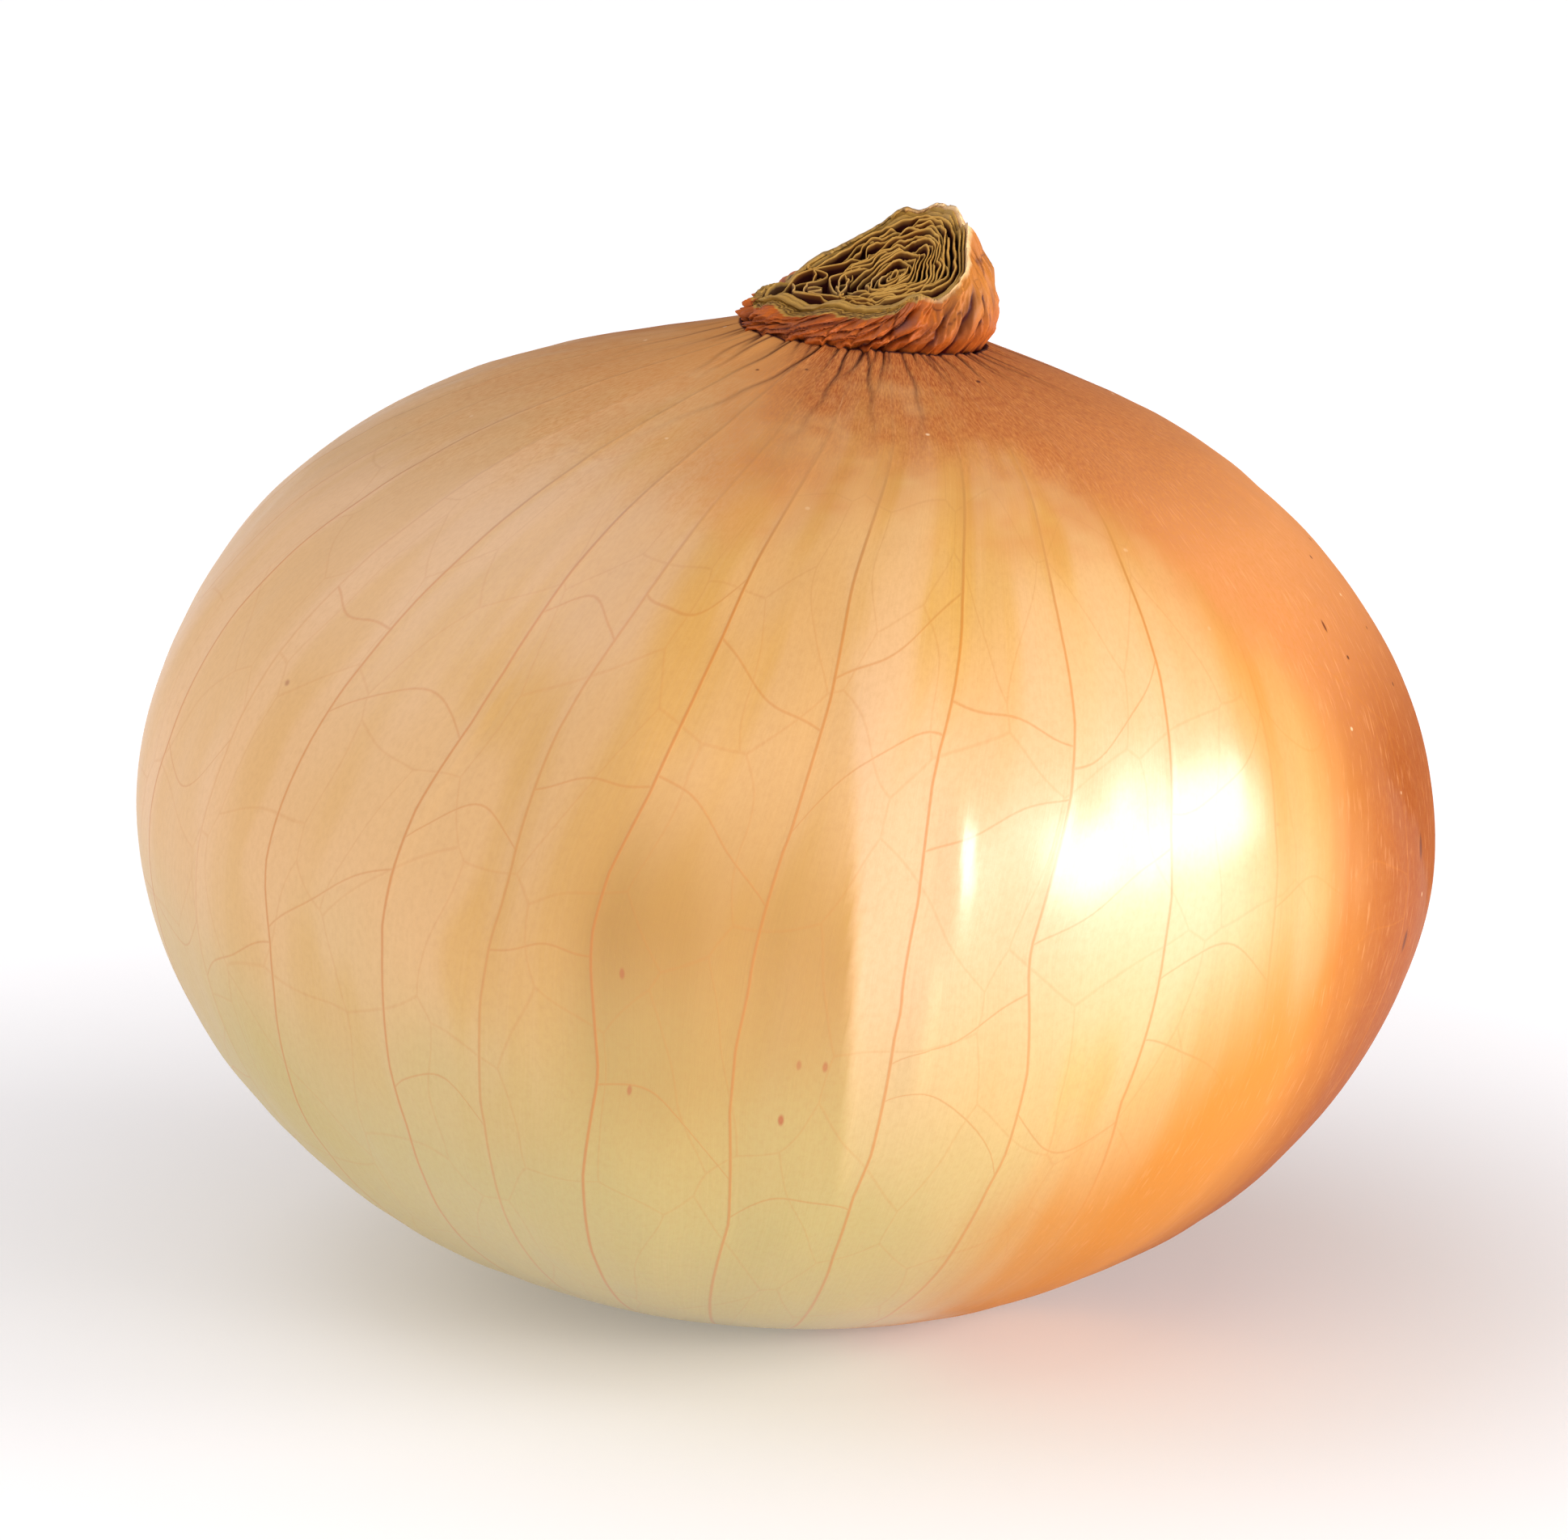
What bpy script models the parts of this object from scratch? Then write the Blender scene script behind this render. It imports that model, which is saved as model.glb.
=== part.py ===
"""A golden bulb onion at rest on a table.

Three bodies: the bulb in its dry golden skin, which is drawn up into a crumpled neck; the withered leaf
bases, one rolled inside the other, that stand in the cut end of that neck; and the root plate with its
dried rootlets, tucked in a dimple underneath.

Lengths below are in millimetres, in the bulb's own frame: its axis is z, its widest ring lies at z = 0.
Blender's units are metres, so every point is multiplied by MM at the end. The bulb leans by LEAN degrees
and stands on a small flat spot, which is lifted to z = 0.
"""

import math
import random

import bmesh
import bpy
from mathutils import Matrix, Vector

MM = 0.001

# --- Bulb -------------------------------------------------------------------------------------------
BELLY = 45.0  # radius of the widest ring
DEPTH_SHARE = 0.985  # the bulb is a little shallower in y than it is wide in x
CROWN = 32.0  # height of the shoulders above the widest ring, without the rise to the neck
CROWN_ROUND = (2.4, 2.03)  # exponents of the upper half's outline
KEEL = 34.4  # depth of the lower half
KEEL_ROUND = (2.3, 1.85)  # exponents of the lower half's outline
LEAN = 4.0  # degrees, neck towards +x
RIB = 0.22  # height of the broad lengthwise ribs
FLAT_CUT = 1.3  # how far the flat spot lies above the bulb's lowest point
FLAT_X = 2.2  # the flat spot's middle, off the bulb's axis because the bulb leans
FLAT_RADIUS = 14.2

# --- Root dimple, root plate and rootlets -----------------------------------------------------------
DIMPLE_RADIUS = 8.0
DIMPLE_DEPTH = 3.0
PLATE_RADIUS = 5.4
GAP = 0.3  # clearance between neighbouring bodies
ROOTLETS = 26
ROOTLET_THICK = 0.33  # radius at the root plate

# --- Neck -------------------------------------------------------------------------------------------
NECK_RISE = 2.9  # the skin's rise towards the neck, at the neck's foot
NECK_REACH = 10.5  # how fast that rise dies away
FOOT = (3.1, 0.0, 8.5, 6.0)  # the neck's foot: middle x and y, half length and half width
HEAD = (5.2, 4.6, 4.5)  # round head of the cut: middle x, half length and half width
TAIL = (5.4, 1.8, 0.75)  # its tail: length, drift towards +y, and how much it narrows
CUT = (6.0, 40.4, 0.47, 0.59)  # the cut plane: x and z at y = 0, and its slopes along x and y
OVERHANG = (0.9, 1.5)  # how far the crumpled skin bulges out: all round, and more on the +x side
PLEATS = 16
PLEAT_HEIGHT = 0.32
RIM_WALL = 0.7
RECESS = (1.0, 2.6)  # depth of the recess in the cut, at the tail and at the head

# --- Withered leaf bases in the cut -----------------------------------------------------------------
EYE = (5.5, -0.6)  # the middle that the leaf bases are rolled round
LEAF_LAYERS = 5
LEAF_PITCH_SHARE = 0.58  # how much of the pitch is leaf, the rest is groove
GROOVE = 1.5

SEGMENTS = 96

SKIN = ("onion_skin", (0.80, 0.42, 0.13, 1.0), 0.38)
LEAF = ("withered_leaf", (0.36, 0.26, 0.08, 1.0), 0.85)
ROOT = ("dried_root", (0.55, 0.42, 0.26, 1.0), 0.9)

LEANING = Matrix.Rotation(math.radians(LEAN), 4, "Y")
FLAT_Z = -KEEL + FLAT_CUT


def mix(a, b, share):
    return a + (b - a) * share


def smooth(low, high, value):
    """0 below low, 1 above high, and an S between them."""
    share = min(1.0, max(0.0, (value - low) / (high - low)))
    return share * share * (3.0 - 2.0 * share)


def material(name, colour, roughness):
    made = bpy.data.materials.new(name)
    made.use_nodes = True
    shader = made.node_tree.nodes["Principled BSDF"]
    shader.inputs["Base Color"].default_value = colour
    shader.inputs["Roughness"].default_value = roughness
    shader.inputs["Metallic"].default_value = 0.0
    return made


# --- The neck's outlines, in plan -------------------------------------------------------------------
def foot_outline(angle):
    middle_x, middle_y, half_length, half_width = FOOT
    return middle_x + half_length * math.cos(angle), middle_y + half_width * math.sin(angle)


def cut_outline(angle, inset=0.0):
    """The cut's edge: a round head at +x that runs out in a tail at -x."""
    middle_x, half_length, half_width = HEAD
    length, drift, narrowing = TAIL
    tail = ((1.0 - math.cos(angle)) / 2.0) ** 3
    x = middle_x + (half_length - inset) * math.cos(angle) - (length - 0.8 * inset) * tail
    y = (half_width - inset) * math.sin(angle) * (1.0 - narrowing * tail) + drift * tail
    return x, y


def cut_height(x, y):
    at_x, at_z, slope_x, slope_y = CUT
    return at_z + slope_x * (x - at_x) + slope_y * y


# --- The bulb's surface -----------------------------------------------------------------------------
def out_from_foot(x, y):
    """About how far a point in plan lies outside the neck's foot."""
    middle_x, middle_y, half_length, half_width = FOOT
    reach = math.hypot((x - middle_x) / half_length, (y - middle_y) / half_width)
    return (reach - 1.0) * (half_length + half_width) / 2.0


def folds(angle, away):
    """Grooves that the skin is gathered into at the neck's foot: narrow, and gone about 15 mm away."""
    wave = math.cos(15 * angle + 1.3 * math.sin(3 * angle)) * 0.6 + math.cos(9 * angle + 2.0) * 0.4
    return -0.55 * max(0.0, wave) ** 2 * math.exp(-away / 5.0)


def crown_height(x, y):
    """Height of the upper half above the widest ring, at a point in plan."""
    reach = min(1.0, math.hypot(x, y / DEPTH_SHARE) / BELLY)
    dome = CROWN * (1.0 - reach ** CROWN_ROUND[0]) ** (1.0 / CROWN_ROUND[1])
    away = max(0.0, out_from_foot(x, y))
    fade = smooth(0.0, 0.25, 1.0 - reach)
    rise = NECK_RISE * math.exp(-away / NECK_REACH) * fade
    return dome + rise + folds(math.atan2(y - FOOT[1], x - FOOT[0]), away) * fade


def keel_depth(reach):
    return KEEL * (1.0 - reach ** KEEL_ROUND[0]) ** (1.0 / KEEL_ROUND[1])


def ribs(angle):
    """Broad, uneven lengthwise swellings, where the scales below show through."""
    return RIB * (math.cos(7 * angle + 0.8) + 0.7 * math.cos(11 * angle + 2.1) + 0.5 * math.cos(17 * angle))


def belly_ring(reach, upper):
    """One ring of the bulb's side, reach times the widest radius, above or below the widest ring."""

    def point(angle):
        swell = 1.0 + ribs(angle) / BELLY * smooth(0.25, 0.8, reach)
        x, y = BELLY * reach * math.cos(angle), BELLY * reach * math.sin(angle)
        if upper:
            foot_x, foot_y = foot_outline(angle)
            to_foot = 0.55 * (1.0 - smooth(0.22, 0.75, reach))
            x, y = mix(x, foot_x * BELLY * reach / 9.0, to_foot), mix(y, foot_y * BELLY * reach / 9.0, to_foot)
        y *= DEPTH_SHARE
        height = crown_height(x, y) if upper else -keel_depth(reach)
        return x * swell, y * swell, height

    return point


def side_rings():
    """Rings from the edge of the flat spot up to the neck's foot, close together where the side curves."""
    lower = [math.sin(math.radians(turn)) for turn in (26, 30, 35, 41, 47, 53, 59, 65, 71, 77, 83, 89)]
    upper = [math.sin(math.radians(turn)) for turn in (85, 79, 73, 67, 61, 55, 50, 45, 40, 35, 30, 26)]
    return [belly_ring(reach, False) for reach in lower] + [belly_ring(reach, True) for reach in upper]


# --- Underneath: the flat spot and the root dimple, in the leaning frame ----------------------------
def level_ring(middle_x, radius, lift):
    """A ring that is level once the bulb leans, lift above the flat spot."""

    def point(angle):
        level = Vector((middle_x + radius * math.cos(angle), radius * math.sin(angle), FLAT_Z + lift))
        return tuple(LEANING.inverted() @ level)

    return point


def root_middle():
    """Where the bulb's own axis meets the flat spot, in the leaning frame."""
    return (LEANING @ Vector((0.0, 0.0, -KEEL))).x


def dimple_lift(share):
    """Depth of the root dimple, share of the way out from its middle to its edge."""
    return DIMPLE_DEPTH * (1.0 - smooth(0.35, 1.0, share))


def underside_rings():
    middle = root_middle()
    dimple = [
        level_ring(middle, DIMPLE_RADIUS * share, dimple_lift(share))
        for share in (0.2, 0.4, 0.55, 0.7, 0.85, 1.0)
    ]
    rim = [level_ring(mix(middle, FLAT_X, 0.5), 10.6, 0.0), level_ring(FLAT_X, FLAT_RADIUS, 0.0)]
    return dimple + rim


# --- The neck ---------------------------------------------------------------------------------------
def pleats(angle, climb):
    """Crumpled folds that run slantwise up the neck's skin."""
    broad = math.cos(PLEATS * angle + 2.6 * climb + 1.2 * math.sin(2 * angle))
    return PLEAT_HEIGHT * (0.65 * broad + 0.35 * math.cos(7 * angle - 3.0 * climb))


def neck_ring(climb, pinch=0.0, drop=0.0):
    """A ring of the neck's skin: climb is 0 at its foot and 1 at the cut."""

    def point(angle):
        foot_x, foot_y = foot_outline(angle)
        rim_x, rim_y = cut_outline(angle)
        out = Vector((math.cos(angle), math.sin(angle)))
        side = smooth(-0.2, 1.0, math.cos(angle))
        bulge = (OVERHANG[0] + OVERHANG[1] * side) * math.sin(math.pi * climb) ** 0.8
        crumple = pleats(angle, climb) * math.sin(math.pi * mix(0.12, 0.9, climb))
        push = bulge + crumple - pinch
        x = mix(foot_x, rim_x, climb**1.3) + out.x * push
        y = mix(foot_y, rim_y, climb**1.3) + out.y * push
        foot_z = crown_height(foot_x, foot_y) - drop
        return x, y, mix(foot_z, ragged_rim(angle), climb)

    return point


def ragged_rim(angle):
    x, y = cut_outline(angle)
    return cut_height(x, y) + 0.22 * math.sin(9 * angle + 1.0) + 0.15 * math.sin(14 * angle)


def recess_depth(angle):
    return mix(RECESS[1], RECESS[0], ((1.0 - math.cos(angle)) / 2.0) ** 2)


def recess_ring(inset, lowered, share=1.0):
    """A ring inside the cut: inset from its edge, lowered by a share of the recess's depth."""

    def point(angle):
        x, y = cut_outline(angle, inset)
        x, y = mix(EYE[0], x, share), mix(EYE[1], y, share)
        ragged = ragged_rim(angle) - cut_height(*cut_outline(angle))
        return x, y, cut_height(x, y) + ragged * (1.0 - lowered) - recess_depth(angle) * lowered

    return point


def neck_rings():
    foot = [neck_ring(0.0, pinch=-0.5), neck_ring(0.02, pinch=0.7, drop=0.5)]
    skin = [neck_ring(climb) for climb in (0.2, 0.38, 0.56, 0.74, 0.9, 1.0)]
    inside = [recess_ring(RIM_WALL, 0.0), recess_ring(RIM_WALL, 1.0), recess_ring(RIM_WALL, 1.0, 0.5)]
    return foot + skin + inside


# --- Turning rings into bodies ----------------------------------------------------------------------
def body_from_rings(name, rings, first, last, segments, finish):
    """One closed body: a sphere's poles become the first and last point, and its rings take these rings."""
    shape = bmesh.new()
    count = len(rings) + 1
    bmesh.ops.create_uvsphere(shape, u_segments=segments, v_segments=count, radius=1.0)
    for vertex in shape.verts:
        climb = count - round(math.acos(max(-1.0, min(1.0, vertex.co.z))) / math.pi * count)
        angle = math.atan2(vertex.co.y, vertex.co.x)
        if climb == 0:
            place = first
        elif climb == count:
            place = last
        else:
            place = rings[climb - 1](angle)
        vertex.co = (LEANING @ Vector(place) - Vector((0.0, 0.0, FLAT_Z))) * MM
    mesh = bpy.data.meshes.new(name)
    shape.to_mesh(mesh)
    shape.free()
    return add_body(name, mesh, finish)


def add_body(name, mesh, finish):
    mesh.materials.clear()
    mesh.materials.append(finish)
    mesh.shade_smooth()
    body = bpy.data.objects.new(name, mesh)
    bpy.data.collections["onion"].objects.link(body)
    return body


def make_bulb():
    rings = underside_rings() + side_rings() + neck_rings()
    root_pole = tuple(LEANING.inverted() @ Vector((root_middle(), 0.0, FLAT_Z + DIMPLE_DEPTH)))
    floor = cut_height(*EYE) - RECESS[1]
    return body_from_rings("bulb", rings, root_pole, (*EYE, floor), SEGMENTS, material(*SKIN))


# --- The withered leaf bases ------------------------------------------------------------------------
def leaf_plan(share, angle):
    """A point in plan, share of the way out from the eye to the recess's wall; inner layers are rounder."""
    wall_x, wall_y = cut_outline(angle, RIM_WALL + GAP)
    oval_x, oval_y = EYE[0] + 3.4 * share * math.cos(angle), EYE[1] + 3.2 * share * math.sin(angle)
    outer = share**1.6
    straight_x, straight_y = mix(EYE[0], wall_x, share), mix(EYE[1], wall_y, share)
    return mix(oval_x, straight_x, outer), mix(oval_y, straight_y, outer)


def leaf_rings():
    """For each leaf base: up its inner side, over its torn edge and down its outer side into the groove."""
    rng = random.Random(7)
    pitch = 1.0 / LEAF_LAYERS
    rings = []
    for layer in range(LEAF_LAYERS):
        phase, second, height = rng.uniform(0, 6.3), rng.uniform(0, 6.3), rng.uniform(-0.25, 0.3)
        outermost = layer == LEAF_LAYERS - 1
        middle = (layer + 0.62) * pitch
        half = pitch * LEAF_PITCH_SHARE / 2.0
        sway = 0.0 if outermost else 0.26 * pitch

        def crinkle(angle, phase=phase, second=second):
            return 0.6 * math.sin(5 * angle + phase) + 0.4 * math.sin(9 * angle + second)

        for offset, raised in ((-half * 1.5, 0.0), (-half, 1.0), (half, 1.0), (half * 1.5, 0.0)):
            if outermost and offset > 0.0:
                continue

            def point(angle, offset=offset, raised=raised, middle=middle, sway=sway, height=height,
                      crinkle=crinkle):
                share = max(0.01, middle + offset + sway * crinkle(angle))
                x, y = leaf_plan(share, angle)
                depth = min(GROOVE, recess_depth(angle) - GAP - 0.3)
                lift = 0.35 * crinkle(2 * angle) + height
                return x, y, cut_height(x, y) + mix(-depth, 0.15 + lift * min(1.0, depth), raised)

            rings.append(point)
    return rings


def leaf_wall(lowered, share=1.0):
    """The outside of the outermost leaf base, down to the recess's floor and in along it."""

    def point(angle):
        wall_x, wall_y = cut_outline(angle, RIM_WALL + GAP)
        x, y = mix(EYE[0], wall_x, share), mix(EYE[1], wall_y, share)
        bottom = -recess_depth(angle) + GAP
        return x, y, cut_height(x, y) + mix(0.1, bottom, lowered)

    return point


def make_leaves():
    rings = [*leaf_rings(), leaf_wall(0.0), leaf_wall(1.0), leaf_wall(1.0, 0.5)]
    rings.reverse()
    low_eye = (*EYE, cut_height(*EYE) - RECESS[1] + GAP)
    high_eye = (*EYE, cut_height(*EYE) - 0.5)
    return body_from_rings("neck_leaves", rings, low_eye, high_eye, SEGMENTS, material(*LEAF))


# --- Root plate and rootlets ------------------------------------------------------------------------
def plate_height(share):
    """The root plate is a low dome that points down: its underside, above the flat spot."""
    return dimple_lift(share * PLATE_RADIUS / DIMPLE_RADIUS) - GAP - mix(0.9, 0.35, share)


def make_plate():
    """A shallow domed disc that follows the dimple's ceiling at GAP."""
    bpy.ops.mesh.primitive_uv_sphere_add(segments=28, ring_count=12, radius=1.0)
    plate = bpy.context.object
    middle = root_middle()
    for vertex in plate.data.vertices:
        share = math.hypot(vertex.co.x, vertex.co.y)
        top = dimple_lift(share * PLATE_RADIUS / DIMPLE_RADIUS) - GAP
        height = mix(plate_height(share), top, (vertex.co.z + 1.0) / 2.0)
        vertex.co = Vector((middle + vertex.co.x * PLATE_RADIUS, vertex.co.y * PLATE_RADIUS, height)) * MM
    return plate


def make_rootlet(number, rng):
    """A dry rootlet: down out of the plate, then curled sideways under it, in the dimple."""
    turn = number * 2.39996  # the golden angle spreads them evenly
    start = 0.82 * PLATE_RADIUS * math.sqrt((number + 0.6) / ROOTLETS)
    bend = rng.uniform(-0.9, 0.9)
    length = rng.uniform(1.8, 3.0)
    low = rng.uniform(0.45, 1.2)
    curve = bpy.data.curves.new(f"rootlet_{number}", "CURVE")
    curve.dimensions = "3D"
    curve.bevel_depth = ROOTLET_THICK * MM
    curve.bevel_resolution = 0
    curve.use_fill_caps = True
    spline = curve.splines.new("POLY")
    steps = 5
    spline.points.add(steps)
    for index, point in enumerate(spline.points):
        share = index / steps
        away = min(start + length * share, DIMPLE_RADIUS * 0.80)
        angle = turn + bend * share
        root_z = dimple_lift(start / DIMPLE_RADIUS) - GAP - 0.5
        height = mix(root_z, low, smooth(0.0, 0.6, share))
        ceiling = dimple_lift(away / DIMPLE_RADIUS) - GAP - ROOTLET_THICK - 0.1
        height = max(ROOTLET_THICK + 0.05, min(height, ceiling))
        x = root_middle() + away * math.cos(angle)
        point.co = (x * MM, away * math.sin(angle) * MM, height * MM, 1.0)
        point.radius = mix(1.0, 0.6, share)
    return bpy.data.objects.new(curve.name, curve)


def as_welded_mesh(thing, into):
    """The curve as a mesh whose caps are joined to its sides, put in a collection in place of the curve."""
    into.objects.link(thing)
    bpy.context.view_layer.update()
    evaluated = thing.evaluated_get(bpy.context.evaluated_depsgraph_get())
    mesh = bpy.data.meshes.new_from_object(evaluated)
    shape = bmesh.new()
    shape.from_mesh(mesh)
    bmesh.ops.remove_doubles(shape, verts=shape.verts, dist=1e-6)
    bmesh.ops.recalc_face_normals(shape, faces=shape.faces)
    shape.to_mesh(mesh)
    shape.free()
    solid = bpy.data.objects.new(thing.name + "_solid", mesh)
    solid.matrix_world = thing.matrix_world
    into.objects.link(solid)
    bpy.data.objects.remove(thing)


def make_roots():
    rng = random.Random(11)
    tuft = bpy.data.collections.new("rootlets")
    bpy.context.scene.collection.children.link(tuft)
    for number in range(ROOTLETS):
        as_welded_mesh(make_rootlet(number, rng), tuft)
    plate = make_plate()
    join = plate.modifiers.new("join_rootlets", "BOOLEAN")
    join.operation = "UNION"
    join.operand_type = "COLLECTION"
    join.collection = tuft
    bpy.context.view_layer.update()
    joined = bpy.data.meshes.new_from_object(plate.evaluated_get(bpy.context.evaluated_depsgraph_get()))
    bpy.data.objects.remove(plate)
    for rootlet in list(tuft.objects):
        bpy.data.objects.remove(rootlet)
    bpy.data.collections.remove(tuft)
    joined.name = "root_plate"
    return add_body("root_plate", joined, material(*ROOT))


def stand_over_origin(bodies):
    """Moves the onion so that the middle of its box lies over the origin."""
    points = [vertex.co for body in bodies for vertex in body.data.vertices]
    middle_x = (min(p.x for p in points) + max(p.x for p in points)) / 2.0
    middle_y = (min(p.y for p in points) + max(p.y for p in points)) / 2.0
    for body in bodies:
        body.data.transform(Matrix.Translation((-middle_x, -middle_y, 0.0)))


def main():
    for thing in list(bpy.data.objects):
        bpy.data.objects.remove(thing)
    bpy.context.scene.collection.children.link(bpy.data.collections.new("onion"))
    stand_over_origin([make_bulb(), make_leaves(), make_roots()])


main()
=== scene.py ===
# %% [markdown]
# # A golden onion and its papery skin
# The model that comes in here is plain: three closed solids in one shared frame. This script keeps their
# forms and gives them what the eye looks for on a real onion: a thin glossy skin with veins, a neck crumpled
# like paper, withered leaf bases rolled in the cut, and a tuft of dry rootlets underneath.

# %% Load the plain model
import math
import random

import bpy
import numpy as np
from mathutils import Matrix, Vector, noise


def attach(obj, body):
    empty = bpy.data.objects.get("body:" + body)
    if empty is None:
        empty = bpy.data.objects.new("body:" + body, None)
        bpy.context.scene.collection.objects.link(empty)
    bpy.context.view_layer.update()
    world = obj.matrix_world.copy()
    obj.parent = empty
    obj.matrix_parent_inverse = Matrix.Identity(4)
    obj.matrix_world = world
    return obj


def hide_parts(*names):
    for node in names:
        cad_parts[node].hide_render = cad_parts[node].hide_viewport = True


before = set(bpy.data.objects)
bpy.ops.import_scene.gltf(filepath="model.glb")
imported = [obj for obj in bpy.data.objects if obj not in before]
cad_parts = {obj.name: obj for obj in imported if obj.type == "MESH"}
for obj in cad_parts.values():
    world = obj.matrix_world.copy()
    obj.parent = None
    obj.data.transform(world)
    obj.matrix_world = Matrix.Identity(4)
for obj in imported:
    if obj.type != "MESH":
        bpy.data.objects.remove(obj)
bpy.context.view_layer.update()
print("nodes:", sorted(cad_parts))

# %% [markdown]
# ## The bulb's own frame
# An onion is easiest to describe upright: the axis is z, the widest ring lies at z = 0, and lengths are in
# millimetres. One function then leans it, stands it on its flat spot and turns it to metres. The numbers and
# formulas are those of the plain model, so that the fine skin lies exactly where the plain one does.

# %% Frame and driving sizes
MM = 0.001
BELLY = 45.0  # radius of the widest ring
DEPTH_SHARE = 0.985  # depth from front to back, as a share of the width
CROWN = 32.0  # height of the half above the widest ring, without the rise towards the neck
CROWN_ROUND = (2.4, 2.03)  # the two powers of its oval: 2 and 2 would be round, more is fuller
KEEL = 34.4  # depth of the half below
KEEL_ROUND = (2.3, 1.85)
LEAN = math.radians(4.0)  # towards +x
RIB = 0.22  # height of the broad ribs
FLAT_X = 2.2  # middle of the flat spot it stands on
FLAT_RADIUS = 14.2
FLAT_Z = -KEEL + 1.3
BOX_MIDDLE = (0.139, 0.269)  # the middle of the onion's box, off the bulb's axis
DIMPLE_RADIUS = 8.0
DIMPLE_DEPTH = 3.0
PLATE_RADIUS = 5.4
GAP = 0.3  # between the root plate and the dimple
NECK_RISE = 2.9  # how much the shoulder climbs to the neck's foot
NECK_REACH = 10.5  # and how fast that fades away from it
FOOT = (3.1, 0.0, 8.5, 6.0)  # the neck's foot: middle x and y, half length and half width
HEAD = (5.2, 4.6, 4.5)  # round head of the cut: middle x, half length and half width
TAIL = (5.4, 1.8, 0.75)  # its tail: length, drift towards +y, and how much it narrows
CUT = (6.0, 40.1, 0.47, 0.59)  # the cut plane: x and z at y = 0, and its slopes along x and y
OVERHANG = 0.9  # how far the neck bulges over its foot
PLEATS = 16
PLEAT_HEIGHT = 0.32
RIM_WALL = 0.7  # thickness of the wall round the cut
RECESS = (1.0, 2.6)  # how deep the cut's floor lies, in the tail and in the head
EYE = (4.9, -1.0)  # the middle that the leaf bases are rolled round


def mix(a, b, share):
    return a + (b - a) * share


def smooth(low, high, value):
    """0 below low, 1 above high, and an S between them."""
    share = np.clip((value - low) / (high - low), 0.0, 1.0)
    return share * share * (3.0 - 2.0 * share)


def wrap(angle):
    """The same angle between minus and plus half a turn."""
    return (angle + math.pi) % (2.0 * math.pi) - math.pi


def noise_at(x, y, z):
    """Soft noise at many points, about -0.5 to 0.5."""
    x, y, z = np.broadcast_arrays(x, y, z)
    found = [noise.noise(Vector(point)) for point in zip(x.ravel(), y.ravel(), z.ravel())]
    return np.array(found).reshape(x.shape)


def stand(points):
    """Points of the upright bulb, in millimetres, leant and stood on the table, in metres."""
    x = points[..., 0] * math.cos(LEAN) + points[..., 2] * math.sin(LEAN) - BOX_MIDDLE[0]
    y = points[..., 1] - BOX_MIDDLE[1]
    z = points[..., 2] * math.cos(LEAN) - points[..., 0] * math.sin(LEAN) - FLAT_Z
    return np.stack([x, y, z], axis=-1) * MM


def upright(x, y, z):
    """The same way back for a leaning point in millimetres, before it is stood on the table."""
    straight_x = x * math.cos(LEAN) - z * math.sin(LEAN)
    straight_z = x * math.sin(LEAN) + z * math.cos(LEAN)
    return np.stack([straight_x, y + 0.0 * x, straight_z], axis=-1)


# %% [markdown]
# ## Veins lay out the mesh
# A dry onion skin is one leaf: its main veins run from the root plate to the neck, about a centimetre apart,
# and thin cross-links tie them together. A texture could draw them, but then they have no relief. Here the
# mesh's columns follow the veins instead: each vein is a column, the columns crowd together beside it, and a
# vertex knows its distance to the nearest vein. The relief is then real, and the lines stay sharp.

# %% Veins round the bulb
FRONT_VEINS = (-62, -51, -36, -26, -16, -3, 9.5, 21.5, 33, 46, 58)  # degrees from the front, towards +x
FRONT_POWER = (0.35, 0.8, 0.9, 0.6, 1.0, 0.85, 0.85, 0.75, 0.85, 0.5, 0.4)
BACK_VEINS = 19
HALF_STRIP = 10  # columns from a vein to the middle of the strip beside it
TWIST = 9.0  # degrees that the veins have turned 25 mm above the widest ring
WANDER = 0.42  # degrees that a vein strays at its kinks

chance = random.Random(5)
back_step = (360.0 + FRONT_VEINS[0] - FRONT_VEINS[-1]) / (BACK_VEINS + 1)
back = [FRONT_VEINS[-1] + back_step * (k + 1 + chance.uniform(-0.16, 0.16)) for k in range(BACK_VEINS)]
VEINS = np.array([*FRONT_VEINS, *back])
POWER = np.array([*FRONT_POWER, *(chance.uniform(0.4, 0.95) for _ in range(BACK_VEINS))])
STRIPS = len(VEINS)
half = 0.5 * (np.arange(HALF_STRIP) / HALF_STRIP) ** 1.15
ACROSS = np.concatenate([half, [0.5], 1.0 - half[:0:-1]])  # where a strip's columns stand, 0 to 1
COLUMNS = STRIPS * len(ACROSS)
WIDTHS = np.diff([*VEINS, VEINS[0] + 360.0])
strip_of = np.repeat(np.arange(STRIPS), len(ACROSS))
share_of = np.tile(ACROSS, STRIPS)
BEARING = VEINS[strip_of] + WIDTHS[strip_of] * share_of  # each column's bearing at the widest ring
print(STRIPS, "veins,", COLUMNS, "columns")


def bearing_at(height):
    """Every column's bearing at a height above the widest ring: the veins turn a little and wander."""
    up = max(0.0, height) / 25.0
    down = min(0.0, height) / 25.0
    turn = TWIST * up**1.5 + down**2 * (3.0 * np.sin(np.radians(BEARING)) - 2.5)
    number = np.arange(STRIPS)
    kinked = np.arcsin(np.sin(height / 4.6 + 2.4 * number))
    kinked = kinked + 0.5 * np.arcsin(np.sin(height / 2.9 + 4.1 * number))
    wander = WANDER * kinked
    wander = mix(wander[strip_of], wander[(strip_of + 1) % STRIPS], share_of)
    return BEARING + turn + wander * math.exp(-((height / 30.0) ** 4))


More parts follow.
